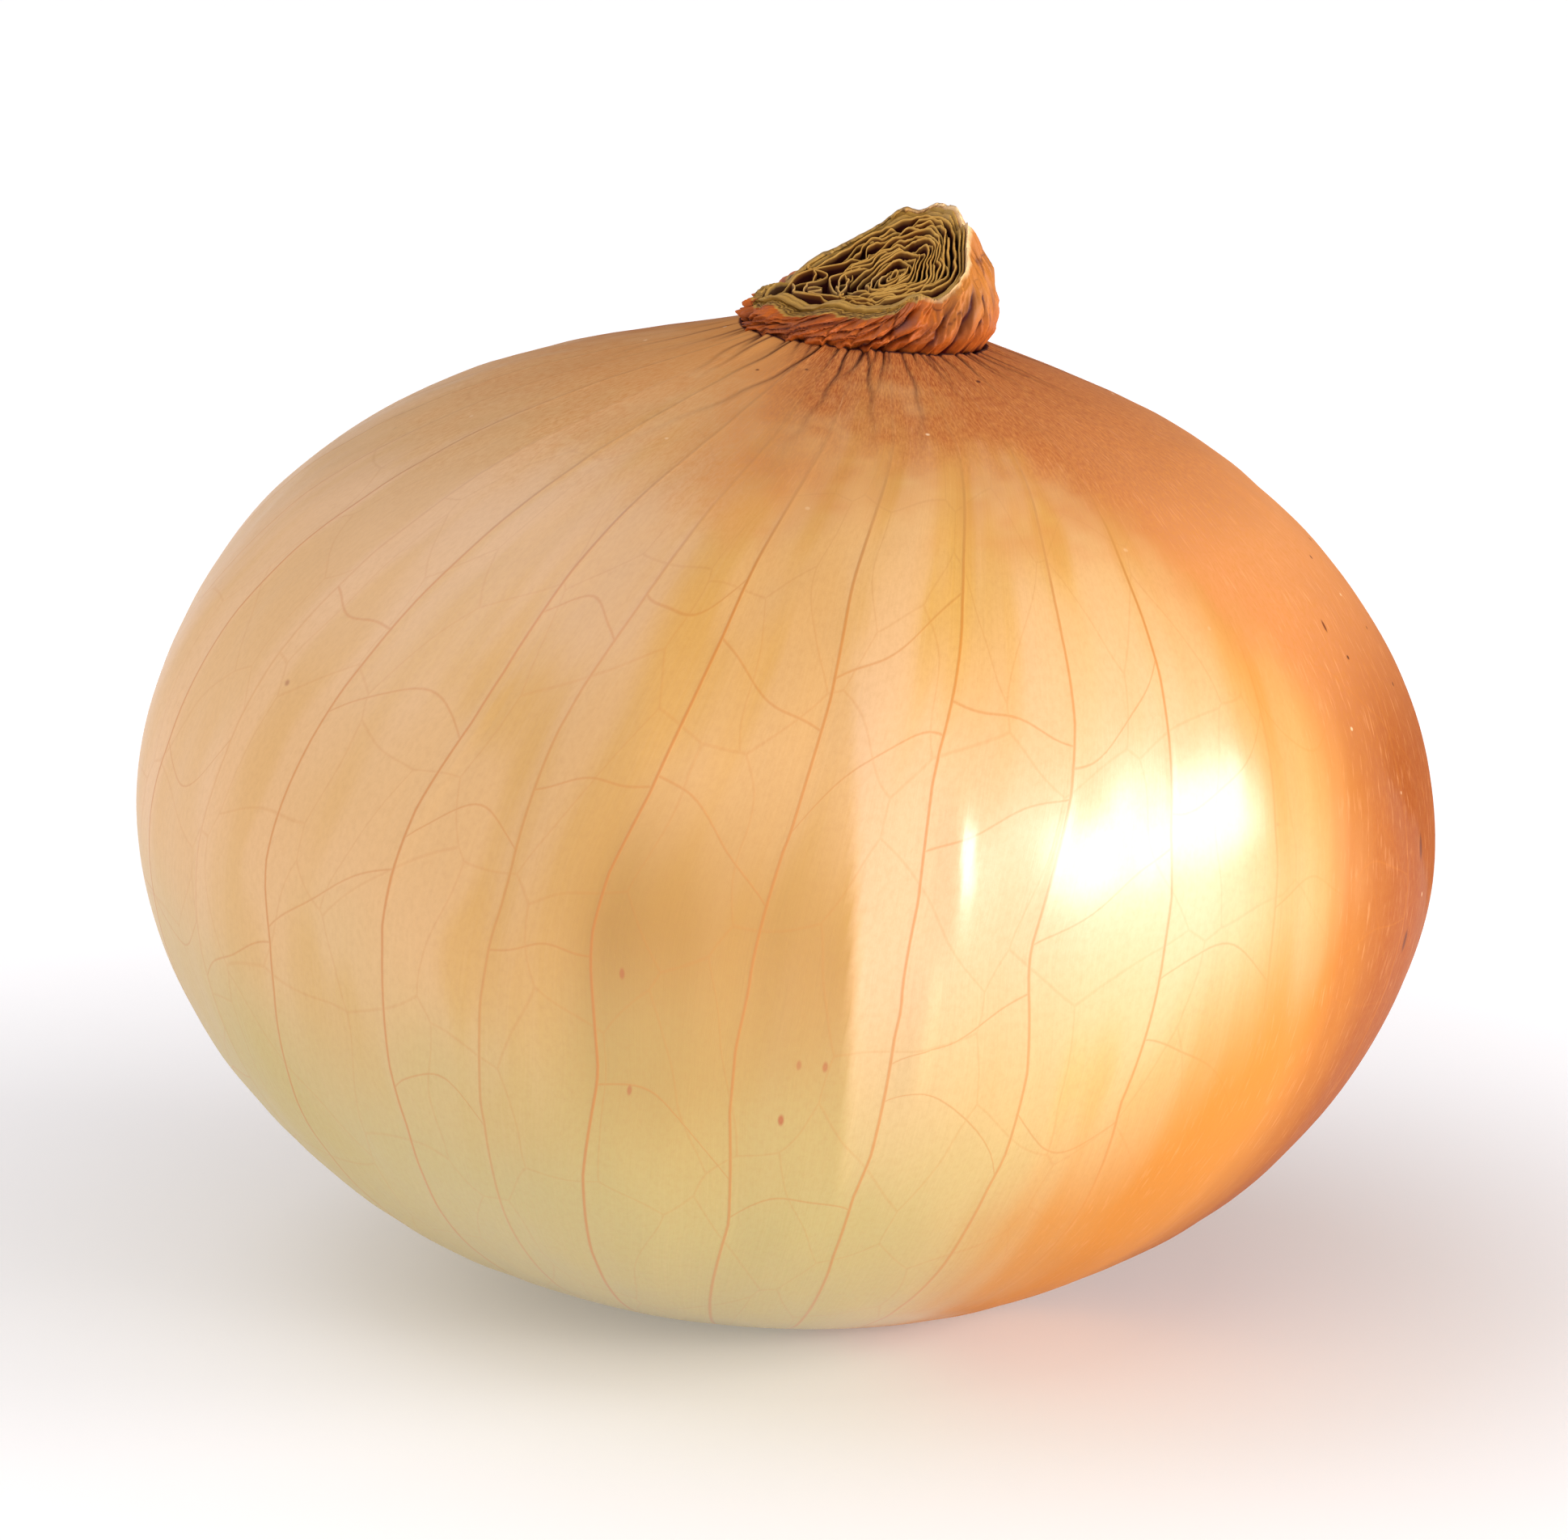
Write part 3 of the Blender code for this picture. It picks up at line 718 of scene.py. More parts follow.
# %% Rusty skin: round the neck and where the oldest scale is left
RUST_HIGH = (24.0, 35.0)  # millimetres above the widest ring, where it turns darker
rusty = coats(
    tree,
    # on the left the rusty skin is paler: partly its own tone, partly a painted sheen
    blend(tree, read["east"], "#EEC492", "#D27E3C"),
    (read["amber"], "#D08850"),
    (stretch(tree, read["height_mm"], *RUST_HIGH), blend(tree, read["east"], "#CC8A44", "#8E3C08")),
    (stretch(tree, mottle, 0.4, 0.75), "#CF8440"),
    # painted shade and age: the far right side darkens to brown
    (read["aged_and_shaded"], "#92460A"),
)
base = blend(tree, read["rust"], golden, rusty)

# %% Fibres, clouds and scratches
fibre_tone = stretch(tree, fibres, 0.4, 0.7, 0.0, 0.09)
plain_skin = calc(tree, "MAXIMUM", dry, read["gold"])
fibres_left = calc(tree, "SUBTRACT", 0.8, plain_skin)
fibre_tone = calc(tree, "MULTIPLY", fibre_tone, fibres_left)
base = blend(tree, fibre_tone, base, "#EBC48E")
base = blend(tree, stretch(tree, mottle, 0.42, 0.75, 0.0, 0.2), base, "#B87A34")
scratched = cloudy_noise(tree, scaled(tree, unrolled_skin, *SCRATCHES), 1.0, 4.0, 0.6)
scratched = stretch(tree, scratched, 0.56, 0.72, 0.0, 0.32)
scratched = calc(tree, "MULTIPLY", scratched, dry)
base = blend(tree, scratched, base, "#EBAA72")

# %% Pricks and spots
prick, few, _ = speckles(tree, spot_place, 120.0, 0.012, 0.03, 0.62)
prick = calc(tree, "MULTIPLY", calc(tree, "MULTIPLY", prick, few), 0.6)
base = blend(tree, prick, base, "#9A4A14")

SCAR = 1.0  # the darkness of a brown scar; anything less is a faint orange spot
SPOTS = (  # bearing, height, width in millimetres, and darkness
    (75.0, 3.6, 0.7, SCAR),
    (72.5, -2.6, 0.6, SCAR),
    (64.0, 19.0, 0.35, SCAR),
    (140.0, 6.0, 0.6, SCAR),
    (-150.0, -4.0, 0.5, SCAR),
    (-13.4, 0.0, 0.3, 0.6),
    (-12.8, -8.3, 0.32, 0.6),
    (1.3, -9.6, 0.34, 0.8),
    (2.2, -5.4, 0.28, 0.5),
    (4.3, -5.4, 0.3, 0.6),
)
for spot_bearing, spot_height, spot_width, darkness in SPOTS:
    spot_along = float(np.interp(spot_height, height.mean(axis=1), along))
    middle = (math.radians(spot_bearing) * BELLY, spot_along, 0.0)
    off = calc(tree, "SUBTRACT", unrolled_skin, middle, kind="VectorMath")
    off = calc(tree, "MULTIPLY", off, (1.0, 0.45, 0.0), kind="VectorMath")
    off = calc(tree, "LENGTH", off, kind="VectorMath", out="Value")
    spot = line(tree, off, 0.3 * spot_width, 0.5 * spot_width)
    spot = calc(tree, "MULTIPLY", spot, darkness)
    base = blend(tree, spot, base, "#6E3210" if darkness == SCAR else "#B4500A")

# %% Flecks on the rusty skin
fleck, few, chances = speckles(tree, spot_place, 520.0, 0.05, 0.07, 0.72)
fleck = calc(tree, "MULTIPLY", fleck, calc(tree, "MULTIPLY", few, read["rust"]))
pale_one = calc(tree, "GREATER_THAN", chances.outputs[1], 0.45)
base = blend(tree, fleck, base, blend(tree, pale_one, "#5E2C12", "#F0CDA2"))

# %% Veins, cross-links and the faint web between them
VEINS_FADE = (21.0, 34.0)  # millimetres above the widest ring, where the veins turn grey
high_up = stretch(tree, read["height_mm"], *VEINS_FADE)
vein_colour = blend(tree, high_up, "#C87412", "#8E6C48")
main_line = line(tree, read["vein_mm"], 0.03, 0.13)
main_line = calc(tree, "MULTIPLY", main_line, read["vein_power"])
rung_uv = add(tree, "SeparateXYZ", {0: add(tree, "UVMap", uv_map="rungs").outputs[0]})
rung_part = calc(tree, "FRACT", rung_uv.outputs[0])
rung_off = calc(tree, "SUBTRACT", rung_part, 0.5)
rung_mm = calc(tree, "MULTIPLY", rung_off, 2.0 * RUNG_SLOPE)
rung_line = line(tree, calc(tree, "ABSOLUTE", rung_mm), 0.015, 0.12)
rung_line = calc(tree, "MULTIPLY", rung_line, 0.5)
bend_place = scaled(tree, unrolled_skin, *BENDS)
bend = add(tree, "TexNoise", {"Vector": bend_place, "Scale": 1.0, "Detail": 0.0}).outputs["Color"]
bent = calc(tree, "MULTIPLY_ADD", bend, (3.0, 4.0, 0.0), unrolled_skin, kind="VectorMath")
web_place = {"Vector": scaled(tree, bent, *WEB), "Scale": 1.0}
web = add(tree, "TexVoronoi", web_place, feature="DISTANCE_TO_EDGE", voronoi_dimensions="2D")
web_line = line(tree, web.outputs["Distance"], 0.002, 0.014)
web_line = calc(tree, "MULTIPLY", web_line, 0.22)
lines = calc(tree, "MAXIMUM", main_line, rung_line)
lines = calc(tree, "MAXIMUM", lines, web_line)
shown = calc(tree, "SUBTRACT", 1.0, dry)
shown = calc(tree, "MAXIMUM", shown, 0.4)
lines = calc(tree, "MULTIPLY", lines, shown)
base = blend(tree, calc(tree, "MULTIPLY", lines, 0.74), base, vein_colour)
# painted shade in the creases round the neck's foot, multiplied in
base = blend(tree, read["crease_shade"], base, "#5A1C06", "MULTIPLY")

# %% The skin's wax and relief
roughness = stretch(tree, dry, to_low=0.42, to_high=1.0)
fine_relief = calc(tree, "ADD", calc(tree, "ADD", fibres, lines), mottle)
finish_surface(skin, skin_finish, base, roughness, 0.4, fine_relief, 0.16)
surface.inputs["IOR"].default_value = 1.46
waxy = calc(tree, "MULTIPLY", stretch(tree, dry, to_low=1.0, to_high=0.0), read["gloss"])
tree.links.new(waxy, surface.inputs["Coat Weight"])
surface.inputs["Coat Roughness"].default_value = 0.26
surface.inputs["Coat IOR"].default_value = 1.6

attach(skin, "root")
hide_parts("bulb")

# %% [markdown]
# ## The crumpled neck
# Where the leaves went limp, the skin round them shrank and folded over itself: a tight crease at the foot,
# a roll above it, and tucks that run slantwise up the roll. At the cut, several papery layers end one behind
# the other in a torn edge. The neck is a mesh of its own, fine enough for sharp tucks and thin torn papers.

# %% Tucks, torn edge and rows of the neck
NECK_COLUMNS = 840
neck_angle = np.linspace(-math.pi, math.pi, NECK_COLUMNS, endpoint=False)
FACING = np.maximum(0.0, -np.sin(neck_angle))  # 1 at the front of the neck, 0 at the sides and behind
FLANK = smooth(0.1, 0.75, np.cos(neck_angle - 0.1))  # 1 on the side of +x
TUCKED = smooth(-0.95, -0.45, np.cos(neck_angle))  # at the tail the skin rises without a crease


def round_noise(radius, height, turn=0.0):
    """Noise round the neck that closes on itself: radius sets how fine it is."""
    return noise_at(radius * np.cos(neck_angle - turn), radius * np.sin(neck_angle - turn), height)


# How far the tucks lean, in radians from foot to cut: they fan out from the cut's front edge.
LEANING = 0.2 + 0.75 * smooth(-0.5, -2.2, neck_angle) * smooth(-3.1, -2.6, neck_angle)
TUCK_COUNT = 34
TUCKS = []  # where each starts, its lean, depth and width, and how far up it runs
for k in range(TUCK_COUNT):
    start = -math.pi + 2.0 * math.pi * (k + chance.uniform(-0.45, 0.45)) / TUCK_COUNT
    lean = float(np.interp(start, neck_angle, LEANING)) * chance.uniform(0.75, 1.2)
    depth, width, top = (chance.uniform(*limits) for limits in ((0.25, 0.85), (0.14, 0.42), (0.6, 1.1)))
    TUCKS.append((start - 0.5 * lean, lean, depth, width, top))


def tucks(climb):
    """Relief of the neck's sharp tucks at one height, and the painted shade in them from 0 to 1."""
    relief, dark = np.zeros(NECK_COLUMNS), np.zeros(NECK_COLUMNS)
    for start, lean, depth, width, top in TUCKS:
        shiver = 0.02 * math.sin(7.0 * climb + 5.0 * start)
        aside = wrap(neck_angle - start - lean * climb - shiver) * 6.5
        fade = 1.0 - float(smooth(top - 0.3, top, climb))
        groove = np.exp(-np.abs(aside) / width)
        lip = np.exp(-(((aside - 2.4 * width) / (2.2 * width)) ** 2))
        relief += depth * fade * (0.5 * lip - groove)
        dark = np.maximum(dark, fade * groove**1.3 * (0.55 + depth))
    return relief, np.clip(dark, 0.0, 1.0)


def crumple(climb):
    """Facets of the crumpled neck between sharp ridges and valleys, and the painted shade in the valleys."""
    relief, dark = np.zeros(NECK_COLUMNS), np.zeros(NECK_COLUMNS)
    for radius, depth, seed in ((2.6, 0.42, 21.0), (6.0, 0.2, 24.0)):
        wave = np.abs(np.arcsin(np.sin(8.0 * round_noise(radius, 1.1 * climb + seed, 0.7 * LEANING * climb))))
        relief += depth * (wave - 0.7)
        dark = np.maximum(dark, 1.6 * depth * np.exp(-((wave / 0.13) ** 2)))
    return relief, dark


torn = 0.5 * round_noise(4.0, 2.0) + 0.16 * round_noise(15.0, 2.0)
cut_x, cut_y = cut_outline(neck_angle)
waves = (0.2 * np.sin(9 * neck_angle + 1.0), 0.1 * np.sin(14 * neck_angle))
rim_height = cut_height(cut_x, cut_y) + waves[0] + waves[1] + 0.5 * torn
TORN_FROM = 0.98 - 0.17 * smooth(0.6, -0.1, np.cos(neck_angle + 0.3)) - 0.12 * round_noise(5.0, 12.0)
TORN_FROM -= 0.05 * round_noise(22.0, 12.0)
EDGES = [TORN_FROM + 0.04 * k + 0.03 * round_noise(9.0 + 3.0 * k, 30.0 + k) for k in range(5)]


def neck_row(climb, pinch=0.0, drop=0.0):
    """One row, climb of the way from foot to cut; pinch draws it in and drop lowers the foot."""
    foot_x, foot_y = foot_outline(neck_angle)
    bulge = (OVERHANG + 0.1 * smooth(0.2, 1.0, np.cos(neck_angle))) * TUCKED
    bulge = bulge * math.sin(math.pi * climb) ** 0.8
    broad = np.cos(7 * neck_angle - 3.0 * climb)
    broad = broad + np.cos(PLEATS * neck_angle - 5.0 * climb + 1.6 * np.sin(2 * neck_angle))
    folds_here = 0.15 * PLEAT_HEIGHT * broad + tucks(climb)[0] + crumple(climb)[0]
    for radius, depth, seed in ((5.0, 0.34, 1.0), (11.0, 0.2, 5.0), (26.0, 0.08, 9.0)):
        slanted = round_noise(radius, 0.6 * climb + seed, LEANING * climb)
        folds_here += depth * (0.3 - np.exp(-np.abs(slanted) / 0.16))
    hold = math.sin(math.pi * mix(0.14, 0.88, climb))
    push = bulge + folds_here * hold * (1.0 - 0.45 * FLANK) - pinch * TUCKED
    under_cut = math.exp(-(((climb - 0.74) / 0.13) ** 2))  # a hollow below the front edge
    push -= 0.55 * FACING**3 * smooth(-0.5, 0.1, np.cos(neck_angle)) * under_cut
    for edge in EDGES:
        push -= 0.1 * smooth(-0.008, 0.008, climb - edge)
    x = mix(foot_x, cut_x, climb**1.3) + np.cos(neck_angle) * push
    y = mix(foot_y, cut_y, climb**1.3) + np.sin(neck_angle) * push
    foot_z = crown_height(foot_x, foot_y) - drop * TUCKED
    return np.stack([x, y, mix(foot_z, rim_height, climb)], axis=-1)


def recess_row(inset, lowered, share=1.0):
    """One row inside the cut: inset from the edge, and lowered of the way down to the floor."""
    x, y = cut_outline(neck_angle, inset)
    x, y = mix(EYE[0], x, share), mix(EYE[1], y, share)
    ragged = rim_height - cut_height(cut_x, cut_y)
    z = cut_height(x, y) + ragged * (1.0 - lowered) - recess_depth(neck_angle) * lowered
    return np.stack([x, y, z], axis=-1)


# %% Neck mesh
CREASE = ((0.0, 0.25, 0.9), (0.004, 0.5, 0.7), (0.008, 0.7, 0.5), (0.014, 0.7, 0.4), (0.024, 0.6, 0.4))
climbs = [climb for climb, _, _ in CREASE]
neck_rows = [neck_row(*crease_row) for crease_row in CREASE]
for climb in (*np.linspace(0.045, 0.74, 22), *np.linspace(0.755, 1.0, 24)):
    slack = max(0.0, 1.0 - (climb - 0.02) / 0.18)
    climbs.append(climb)
    neck_rows.append(neck_row(climb, 0.7 * slack, 0.5 * slack))
outside = len(neck_rows)
PAPERS = (  # inset and lowered: the papers' edges stand up, with gaps between them
    *((0.07, -0.07), (0.13, -0.02), (0.18, 0.3), (0.23, 0.32), (0.27, 0.0), (0.36, -0.05)),
    *((0.41, 0.3), (0.47, 0.32), (0.51, 0.02), (0.61, 0.0), (0.65, 0.3)),
    *((RIM_WALL, 0.6), (RIM_WALL, 1.0)),
)
neck_rows += [recess_row(inset, lowered) for inset, lowered in PAPERS] + [recess_row(RIM_WALL, 1.0, 0.5)]
inside_pole = np.array([FOOT[0], FOOT[1], neck_rows[0][:, 2].min() - 0.4])
eye_floor = np.array([EYE[0], EYE[1], cut_height(*EYE) - RECESS[1]])
neck = loft("neck_skin", [stand(row) for row in neck_rows], stand(inside_pole), stand(eye_floor))

# %% Where the neck gets painted shade in its creases and under its paper edges, and where it is papery or pale
crease_shade, paper, lip, flank, ledge_shade = (np.zeros((len(neck_rows), NECK_COLUMNS)) for _ in range(5))
for r, climb in enumerate(climbs):
    # painted shade: the valleys, the tucks and the crease at the foot under the roll are darkened
    valleys = crumple(climb)[1] * smooth(1.0, 0.85, climb)
    at_foot = 0.9 * smooth(0.12, 0.0, climb) * TUCKED
    crease_shade[r] = np.clip(np.maximum(tucks(climb)[1], valleys) + at_foot, 0.0, 1.0)
    paper[r] = smooth(-0.012, 0.012, climb - TORN_FROM)
    # painted shade just below each paper's torn edge
    for edge in EDGES[1:]:
        ledge_shade[r] = np.maximum(ledge_shade[r], np.exp(-(((climb - edge - 0.008) / 0.012) ** 2)))
    lip[r] = smooth(0.95, 1.0, climb) * FLANK
    flank[r] = FLANK * smooth(0.05, 0.7, climb)
paper[outside:] = 1.0 - 0.9 * FLANK * smooth(3.0, 0.0, np.arange(len(neck_rows) - outside))[:, None]
paper[:outside] *= 1.0 - FLANK
lip[outside : outside + 3] = FLANK
ledge_shade *= 1.0 - FLANK
# painted shade in the lowered gaps between the papers' standing edges
for r, (_, lowered) in enumerate(PAPERS):
    ledge_shade[outside + r] = smooth(0.0, 0.3, lowered)
NECK_NUMBERS = {"crease_shade": crease_shade, "paper": paper, "lip": lip, "flank": flank, "ledge_shade": ledge_shade}
for name, values in NECK_NUMBERS.items():
    paint(neck, name, values.reshape(-1))

# %% Neck skin material
neck_finish, tree, surface = new_material("crumpled_neck_skin")
read = read_numbers(tree, NECK_NUMBERS)
place = add(tree, "TexCoord").outputs["Object"]
mottle = cloudy_noise(tree, place, 900.0, 5.0, 0.65)
blotch = cloudy_noise(tree, place, 260.0, 2.0, 0.5)
base = blend(tree, mottle, "#943A08", "#D8742C")
golden = blend(tree, blotch, "#9A4E10", "#CE8A3A")
base = blend(tree, calc(tree, "MULTIPLY", read["flank"], 0.85), base, golden)
papers = blend(tree, mottle, "#94641C", "#E2B45C")
# painted shade under the papers' torn edges and in the gaps between them
papers = blend(tree, read["ledge_shade"], papers, "#4A2A0A")
base = blend(tree, read["paper"], base, papers)
base = blend(tree, read["lip"], base, blend(tree, mottle, "#E0A860", "#F7DDB0"))
# painted shade in the tucks, the valleys and the crease at the foot, multiplied in
base = blend(tree, read["crease_shade"], base, "#5E0C00", "MULTIPLY")
fleck, few, _ = speckles(tree, place, 620.0, 0.05, 0.08, 0.86)
base = blend(tree, calc(tree, "MULTIPLY", fleck, few), base, "#F0CDA2")
finish_surface(neck, neck_finish, base, 0.5, 0.25, mottle, 0.5, 0.00015)

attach(neck, "root")
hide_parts("bulb")

# %% [markdown]
# ## Withered leaf bases in the cut
# Where the leaves were cut off, their bases are left: some twenty thin tubes, one inside the other, dried to
# paper, pressed flat towards one side and wrinkled. Each is a closed ribbon of its own, from the floor of the
# cut up to a torn edge. One shared warp pushes neighbours about together, so they crowd and gape but never
# cross; a small one of its own keeps each wavy.

# %% Ribbons round the eye
LEAVES = 19
AROUND = 400
PAPER = 0.13  # thickness of the dried leaf in millimetres
DEEPEST = 1.4
INNER_FACE = ((-1, DEEPEST), (-1, 0.8), (-1, 0.4), (-1, 0.12), (-0.5, 0.0))
OUTER_FACE = ((0.5, 0.0), (1, 0.12), (1, 0.4), (1, 0.8), (1, DEEPEST))
LEAF_SECTION = (*INNER_FACE, *OUTER_FACE)  # which side of the leaf, and how far below its edge
around = np.linspace(0.0, 2.0 * math.pi, AROUND, endpoint=False)


def soft_noise(x, y, seed, scale):
    """Noise over the cut in blotches of scale millimetres."""
    return noise_at(x / scale, y / scale, seed)


def leaf_plan(share, angle):
    """A point in plan, share of the way from the eye to the wall of the cut; inner leaves are rounder."""
    wall_x, wall_y = cut_outline(angle, RIM_WALL + 0.1)
    oval = 1.0 / np.hypot(np.cos(angle - 0.5) / 3.9, np.sin(angle - 0.5) / 2.7)
    oval_x, oval_y = EYE[0] + oval * share * np.cos(angle), EYE[1] + oval * share * np.sin(angle)
    straight_x, straight_y = mix(EYE[0], wall_x, share), mix(EYE[1], wall_y, share)
    return mix(oval_x, straight_x, share**1.6), mix(oval_y, straight_y, share**1.6)


def leaf_rows(layer):
    """Inner face, torn edge and outer face of one leaf base, and how near its edge each row is."""
    pitch = 1.0 / LEAVES
    middle = (layer + 0.6) * pitch
    x, y = leaf_plan(middle + 0.0 * around, around)
    free = min(1.0, layer / 3.0) * min(1.0, (LEAVES - 1 - layer) / 2.0)
    looseness = mix(1.0, 2.0, smooth(5.0, 0.0, x))  # tight round the eye, gaping in the tail
    shared = (2.0 * soft_noise(x, y, 4.0, 1.6) + 0.9 * soft_noise(x, y, 9.0, 0.7)) * pitch * free * looseness
    own = 0.42 * pitch * soft_noise(x, y, 20.0 + 3.0 * layer, 0.7)
    share = middle + shared + own
    ragged = 0.16 * soft_noise(x, y, 50.0 + layer, 0.7) + 0.07 * soft_noise(x, y, 90.0 + layer, 0.2)
    worn = 0.9 * looseness * soft_noise(x, y, 130.0 + 1.7 * layer, 1.6) + 0.15 * (layer % 2) - 0.12
    found, nearness = [], []
    thick = 0.5 * PAPER * mix(1.0, 1.6, smooth(6.0, 9.0, x))
    step = np.array(leaf_plan(share + 0.02, around)) - np.array(leaf_plan(share, around))
    local = np.hypot(*step) / 0.02  # millimetres to one unit of share
    spread = mix(0.22, 0.6, smooth(3.0, -1.0, x))  # the edges bend apart, most in the tail
    for side, depth in LEAF_SECTION:
        flare = spread * soft_noise(x, y, 170.0 + layer, 1.1) * (1.0 - depth) * pitch
        at = np.maximum(0.012, share + flare + side * thick * (0.5 + 0.5 * min(1.0, depth * 8.0)) / local)
        px, py = leaf_plan(at, around)
        top = np.minimum(0.2, ragged - worn) - depth
        lowest = 0.08 - recess_depth(around)
        if depth == DEEPEST:
            top = lowest
        found.append(stand(np.stack([px, py, cut_height(px, py) + np.maximum(top, lowest)], axis=-1)))
        nearness.append(np.full(AROUND, 1.0 - min(1.0, depth)))
    return found, nearness


def join_pieces(name, parts):
    """Makes one object of several."""
    with bpy.context.temp_override(active_object=parts[0], selected_editable_objects=parts):
        bpy.ops.object.join()
    parts[0].name = name
    return parts[0]


# %% Leaf bases
leaves = []
for layer in range(LEAVES):
    found, nearness = leaf_rows(layer)
    found.append(found[0])
    nearness.append(nearness[0])
    ring = loft(f"leaf_{layer}", found[::-1])
    paint(ring, "edge", np.concatenate(nearness[::-1]))
    tail = smooth(2.5, -1.5, np.tile(leaf_plan(0.6 + 0.0 * around, around)[0], len(found)))
    paint(ring, "tail", tail)
    leaves.append(ring)
withered = join_pieces("withered_leaf_bases", leaves)

# %% Leaf paper material
leaf_finish, tree, surface = new_material("withered_leaf_paper")
read = read_numbers(tree, ("edge", "tail"))
place = add(tree, "TexCoord").outputs["Object"]
crumbs = cloudy_noise(tree, place, 1400.0, 4.0, 0.7)
patches = cloudy_noise(tree, place, 500.0, 2.0, 0.5)
face = blend(tree, read["tail"], "#6A3A0C", "#E0C896")
face = blend(tree, stretch(tree, patches, 0.45, 0.7), face, "#8E6630")
# the torn tops are paler: partly the dry paper's own colour, partly a painted highlight
edge_colour = blend(tree, crumbs, "#B4741A", "#F2C66E")
bleached = calc(tree, "MULTIPLY", read["tail"], 0.8)
edge_colour = blend(tree, bleached, edge_colour, "#EEDCB0")
near_edge = stretch(tree, read["edge"], 0.86, 1.0)
# painted shade: deeper down between the leaves the paper turns near black
deep = stretch(tree, read["edge"], 0.55, 0.93)
colour = blend(tree, deep, "#2E0400", blend(tree, near_edge, face, edge_colour))
finish_surface(withered, leaf_finish, colour, 0.9, 0.15, crumbs, 0.35)

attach(withered, "root")
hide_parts("neck_leaves")

# %% [markdown]
# ## Root plate and rootlets
# Below the bulb, in a dimple, is the root plate: a corky disc, and out of it dry rootlets, thin as thread,
# that were cut short and curl sideways under the bulb. Each one here is a small tapering tube.

# %% Root plate
PLATE_THICK = 0.9  # in its middle
plate_angle = np.linspace(0.0, 2.0 * math.pi, 96, endpoint=False)


def plate_row(share, lowered):
    radius = PLATE_RADIUS * share
    top = dimple_lift(radius / DIMPLE_RADIUS) - GAP
    low = top - mix(PLATE_THICK, 0.35, share)
    x, y = radius * np.cos(plate_angle), radius * np.sin(plate_angle)
    lumps = 0.12 * soft_noise(x, y, 3.0, 0.8) * lowered
    return stand(upright(root_middle + x, y, FLAT_Z + mix(top, low, lowered) + lumps))


def plate_pole(lowered):
    height = FLAT_Z + mix(dimple_lift(0.0) - GAP, dimple_lift(0.0) - GAP - PLATE_THICK, lowered)
    return stand(upright(np.array(root_middle), np.array(0.0), np.array(height)))


shares = (0.15, 0.3, 0.45, 0.6, 0.75, 0.88, 0.96)
plate_rows = [plate_row(share, 1.0) for share in shares]
plate_rows += [plate_row(1.0, 0.5)] + [plate_row(share, 0.0) for share in shares[::-1]]
roots = [loft("plate", plate_rows, plate_pole(1.0), plate_pole(0.0))]

# %% Rootlets
ROOTLETS = 64
GOLDEN_ANGLE = 2.39996  # spreads them evenly over the plate
STEPS = 14  # along a rootlet
RING = np.linspace(0, 2 * math.pi, 8, endpoint=False)


def rootlet(number):
    """One tapering thread: down out of the plate, then sideways, never below the flat spot."""
    turn = number * GOLDEN_ANGLE
    start = 0.9 * PLATE_RADIUS * math.sqrt((number + 0.5) / ROOTLETS)
    bend, length = chance.uniform(-1.1, 1.1), chance.uniform(1.6, 3.4)
    low, thick = chance.uniform(0.35, 1.4), chance.uniform(0.13, 0.24)
    from_plate = float(dimple_lift(start / DIMPLE_RADIUS)) - GAP - 0.4
    centre = []
    for index in range(STEPS + 1):
        share = index / STEPS
        away = min(start + length * share, DIMPLE_RADIUS * 0.86)
        angle = turn + bend * share + 0.1 * math.sin(9.0 * share + number)
        height = mix(from_plate, low, float(smooth(0.0, 0.6, share)))
        height = height + 0.12 * math.sin(7.0 * share + 2.0 * number)
        ceiling = float(dimple_lift(away / DIMPLE_RADIUS)) - thick - 0.1
        height = max(thick + 0.05, min(height, ceiling))
        centre.append(Vector((away * math.cos(angle), away * math.sin(angle), height)))
    found = []
    for index, middle in enumerate(centre):
        ahead = centre[min(index + 1, STEPS)] - centre[max(index - 1, 0)]
        side = ahead.cross(Vector((0.3, 0.2, 1.0))).normalized()
        over = side.cross(ahead).normalized()
        radius = thick * mix(1.0, 0.35, index / STEPS)
        ring = [middle + side * radius * math.cos(a) + over * radius * math.sin(a) for a in RING]
        ring = np.array([[*point] for point in ring])
        found.append(stand(upright(root_middle + ring[:, 0], ring[:, 1], FLAT_Z + ring[:, 2])))
    first, last = (
        stand(upright(root_middle + end.x, np.array(end.y), np.array(FLAT_Z + end.z)))
        for end in (centre[0], centre[-1])
    )
    return loft(f"rootlet_{number}", found[::-1], last, first)


roots += [rootlet(number) for number in range(ROOTLETS)]
root_tuft = join_pieces("root_plate_and_rootlets", roots)

# %% Root material
root_finish, tree, surface = new_material("dry_root_fibre")
place = add(tree, "TexCoord").outputs["Object"]
cork = cloudy_noise(tree, place, 900.0, 5.0, 0.7)
colour = blend(tree, cork, "#7A5A34", "#D9BE8E")
finish_surface(root_tuft, root_finish, colour, 0.85, 0.5, cork, 0.4)

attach(root_tuft, "root")
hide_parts("root_plate")

# %% [markdown]
# ## Table, light and camera
# The onion stands on a pale table under soft light: a window of two panes at the right, a cooler window
# behind on the left, and bright surroundings that are darker behind on the right. The table glows a little
# away from the onion, so that the ground stays light. A long lens, 65 centimetres away, looks down at it.

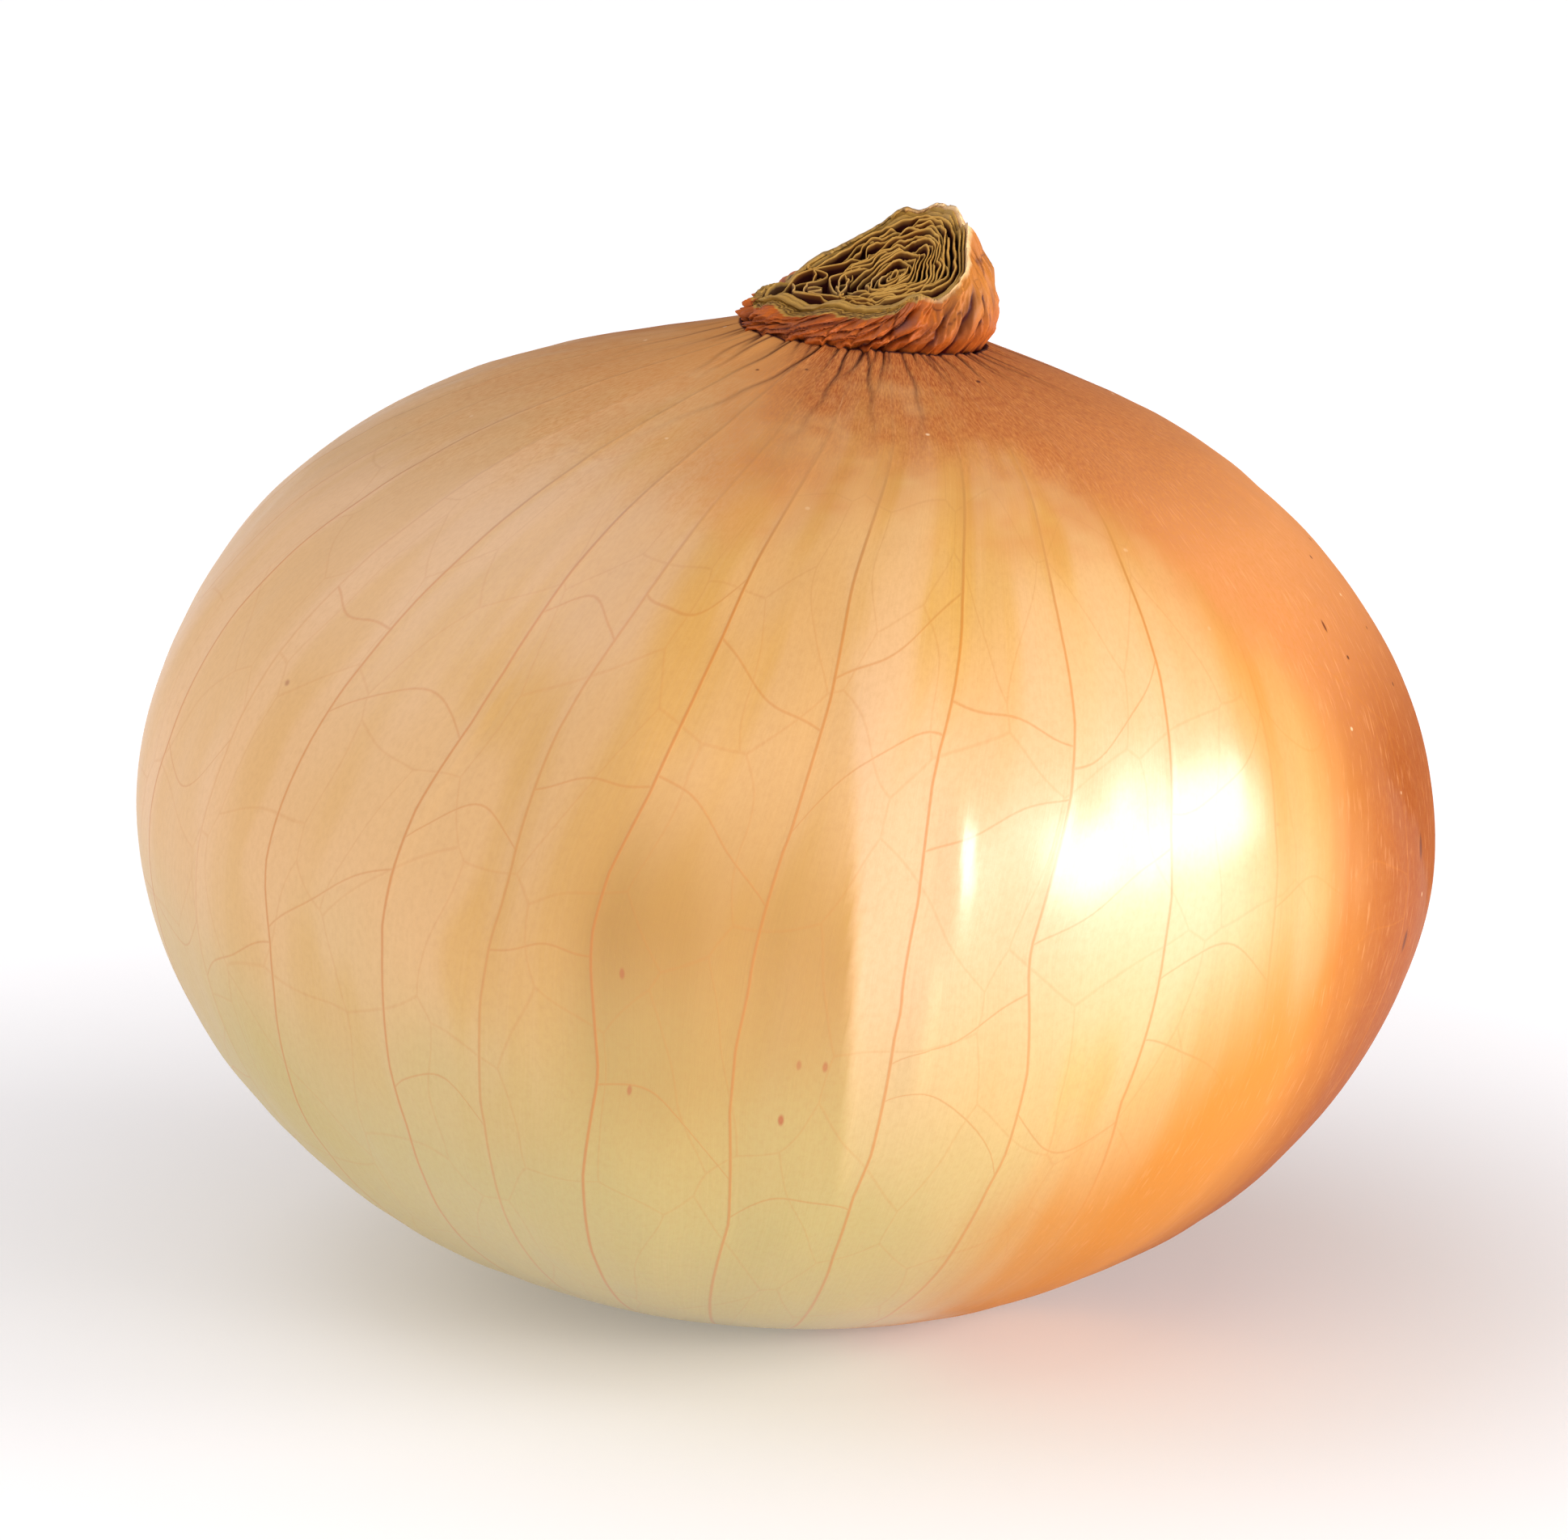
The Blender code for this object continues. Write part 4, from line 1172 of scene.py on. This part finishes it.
# %% Table
bpy.ops.mesh.primitive_plane_add(size=6.0)
table = bpy.context.object
table.name = "table_top"
table_finish, tree, surface = new_material("white_table_top")
surface.inputs["Base Color"].default_value = tint("#DCDBDA")
surface.inputs["Roughness"].default_value = 0.6
place = add(tree, "TexCoord").outputs["Object"]
from_onion = calc(tree, "LENGTH", place, kind="VectorMath", out="Value")
glow = stretch(tree, from_onion, 0.03, 0.1, 0.2, 0.5)  # metres, then strength
surface.inputs["Emission Color"].default_value = tint("#FFFFFF")
tree.links.new(glow, surface.inputs["Emission Strength"])
table.data.materials.append(table_finish)


# %% Light
LIT_HEIGHT = 0.033  # of the bulb's middle over the table


def softbox(name, bearing_deg, elevation_deg, distance, width, depth, power, colour):
    """A soft light that faces the bulb's middle. Lengths are in metres, power is in watts."""
    lamp = bpy.data.lights.new(name, "AREA")
    lamp.shape = "RECTANGLE"
    lamp.size, lamp.size_y = width, depth
    lamp.energy = power
    lamp.color = tint(colour)[:3]
    a, e = math.radians(bearing_deg), math.radians(elevation_deg)
    way = Vector((math.sin(a) * math.cos(e), -math.cos(a) * math.cos(e), math.sin(e)))
    holder = bpy.data.objects.new(name, lamp)
    bpy.context.scene.collection.objects.link(holder)
    holder.location = Vector((0.0, 0.0, LIT_HEIGHT)) + way * distance
    holder.rotation_euler = way.to_track_quat("Z", "Y").to_euler()


softbox("window_near_pane", 55.0, 12.0, 1.0, 0.42, 0.3, 6.4, "#FFFCFA")
softbox("window_far_pane", 82.5, 15.0, 1.0, 0.42, 0.32, 5.6, "#FFFCFA")
softbox("left_window", -120.0, 54.0, 1.5, 1.6, 1.4, 7.0, "#E6E6FF")

# %% Bright surroundings
world = bpy.data.worlds.new("bright_room")
bpy.context.scene.world = world
world.use_nodes = True
DARK_SIDE = (0.70, 0.50, 0.51)  # right, back and up
tree = world.node_tree
where = add(tree, "TexCoord").outputs["Generated"]
toward_dark = calc(tree, "DOT_PRODUCT", where, DARK_SIDE, kind="VectorMath", out="Value")
darker = stretch(tree, toward_dark, -0.2, 0.75, way="SMOOTHSTEP")
walls = blend(tree, darker, "#FAFAFC", "#5A5048")
tree.links.new(walls, tree.nodes["Background"].inputs["Color"])
tree.nodes["Background"].inputs["Strength"].default_value = 1.0
bpy.context.scene.view_settings.view_transform = "Standard"

# %% Camera
LENS_DISTANCE = 0.65
ELEVATION = math.radians(15.0)
FRAME_WIDTH = 0.1097  # what the frame spans at the bulb's middle
SENSOR = 36.0
AIM_ABOVE = 0.003  # the camera looks at a point this far above the bulb's middle
bulb_middle = Vector(stand(np.array([0.0, 0.0, 0.0])))
back_from = Vector((0.0, -math.cos(ELEVATION), math.sin(ELEVATION)))
up_in_frame = Vector((0.0, math.sin(ELEVATION), math.cos(ELEVATION)))
camera = bpy.data.objects.new("camera", bpy.data.cameras.new("camera"))
bpy.context.scene.collection.objects.link(camera)
camera.data.sensor_width = SENSOR
camera.data.lens = SENSOR * LENS_DISTANCE / FRAME_WIDTH
camera.location = bulb_middle + back_from * LENS_DISTANCE
aim = bulb_middle + up_in_frame * AIM_ABOVE
camera.rotation_euler = (camera.location - aim).to_track_quat("Z", "Y").to_euler()
camera.data.clip_start = 0.01
bpy.context.scene.camera = camera
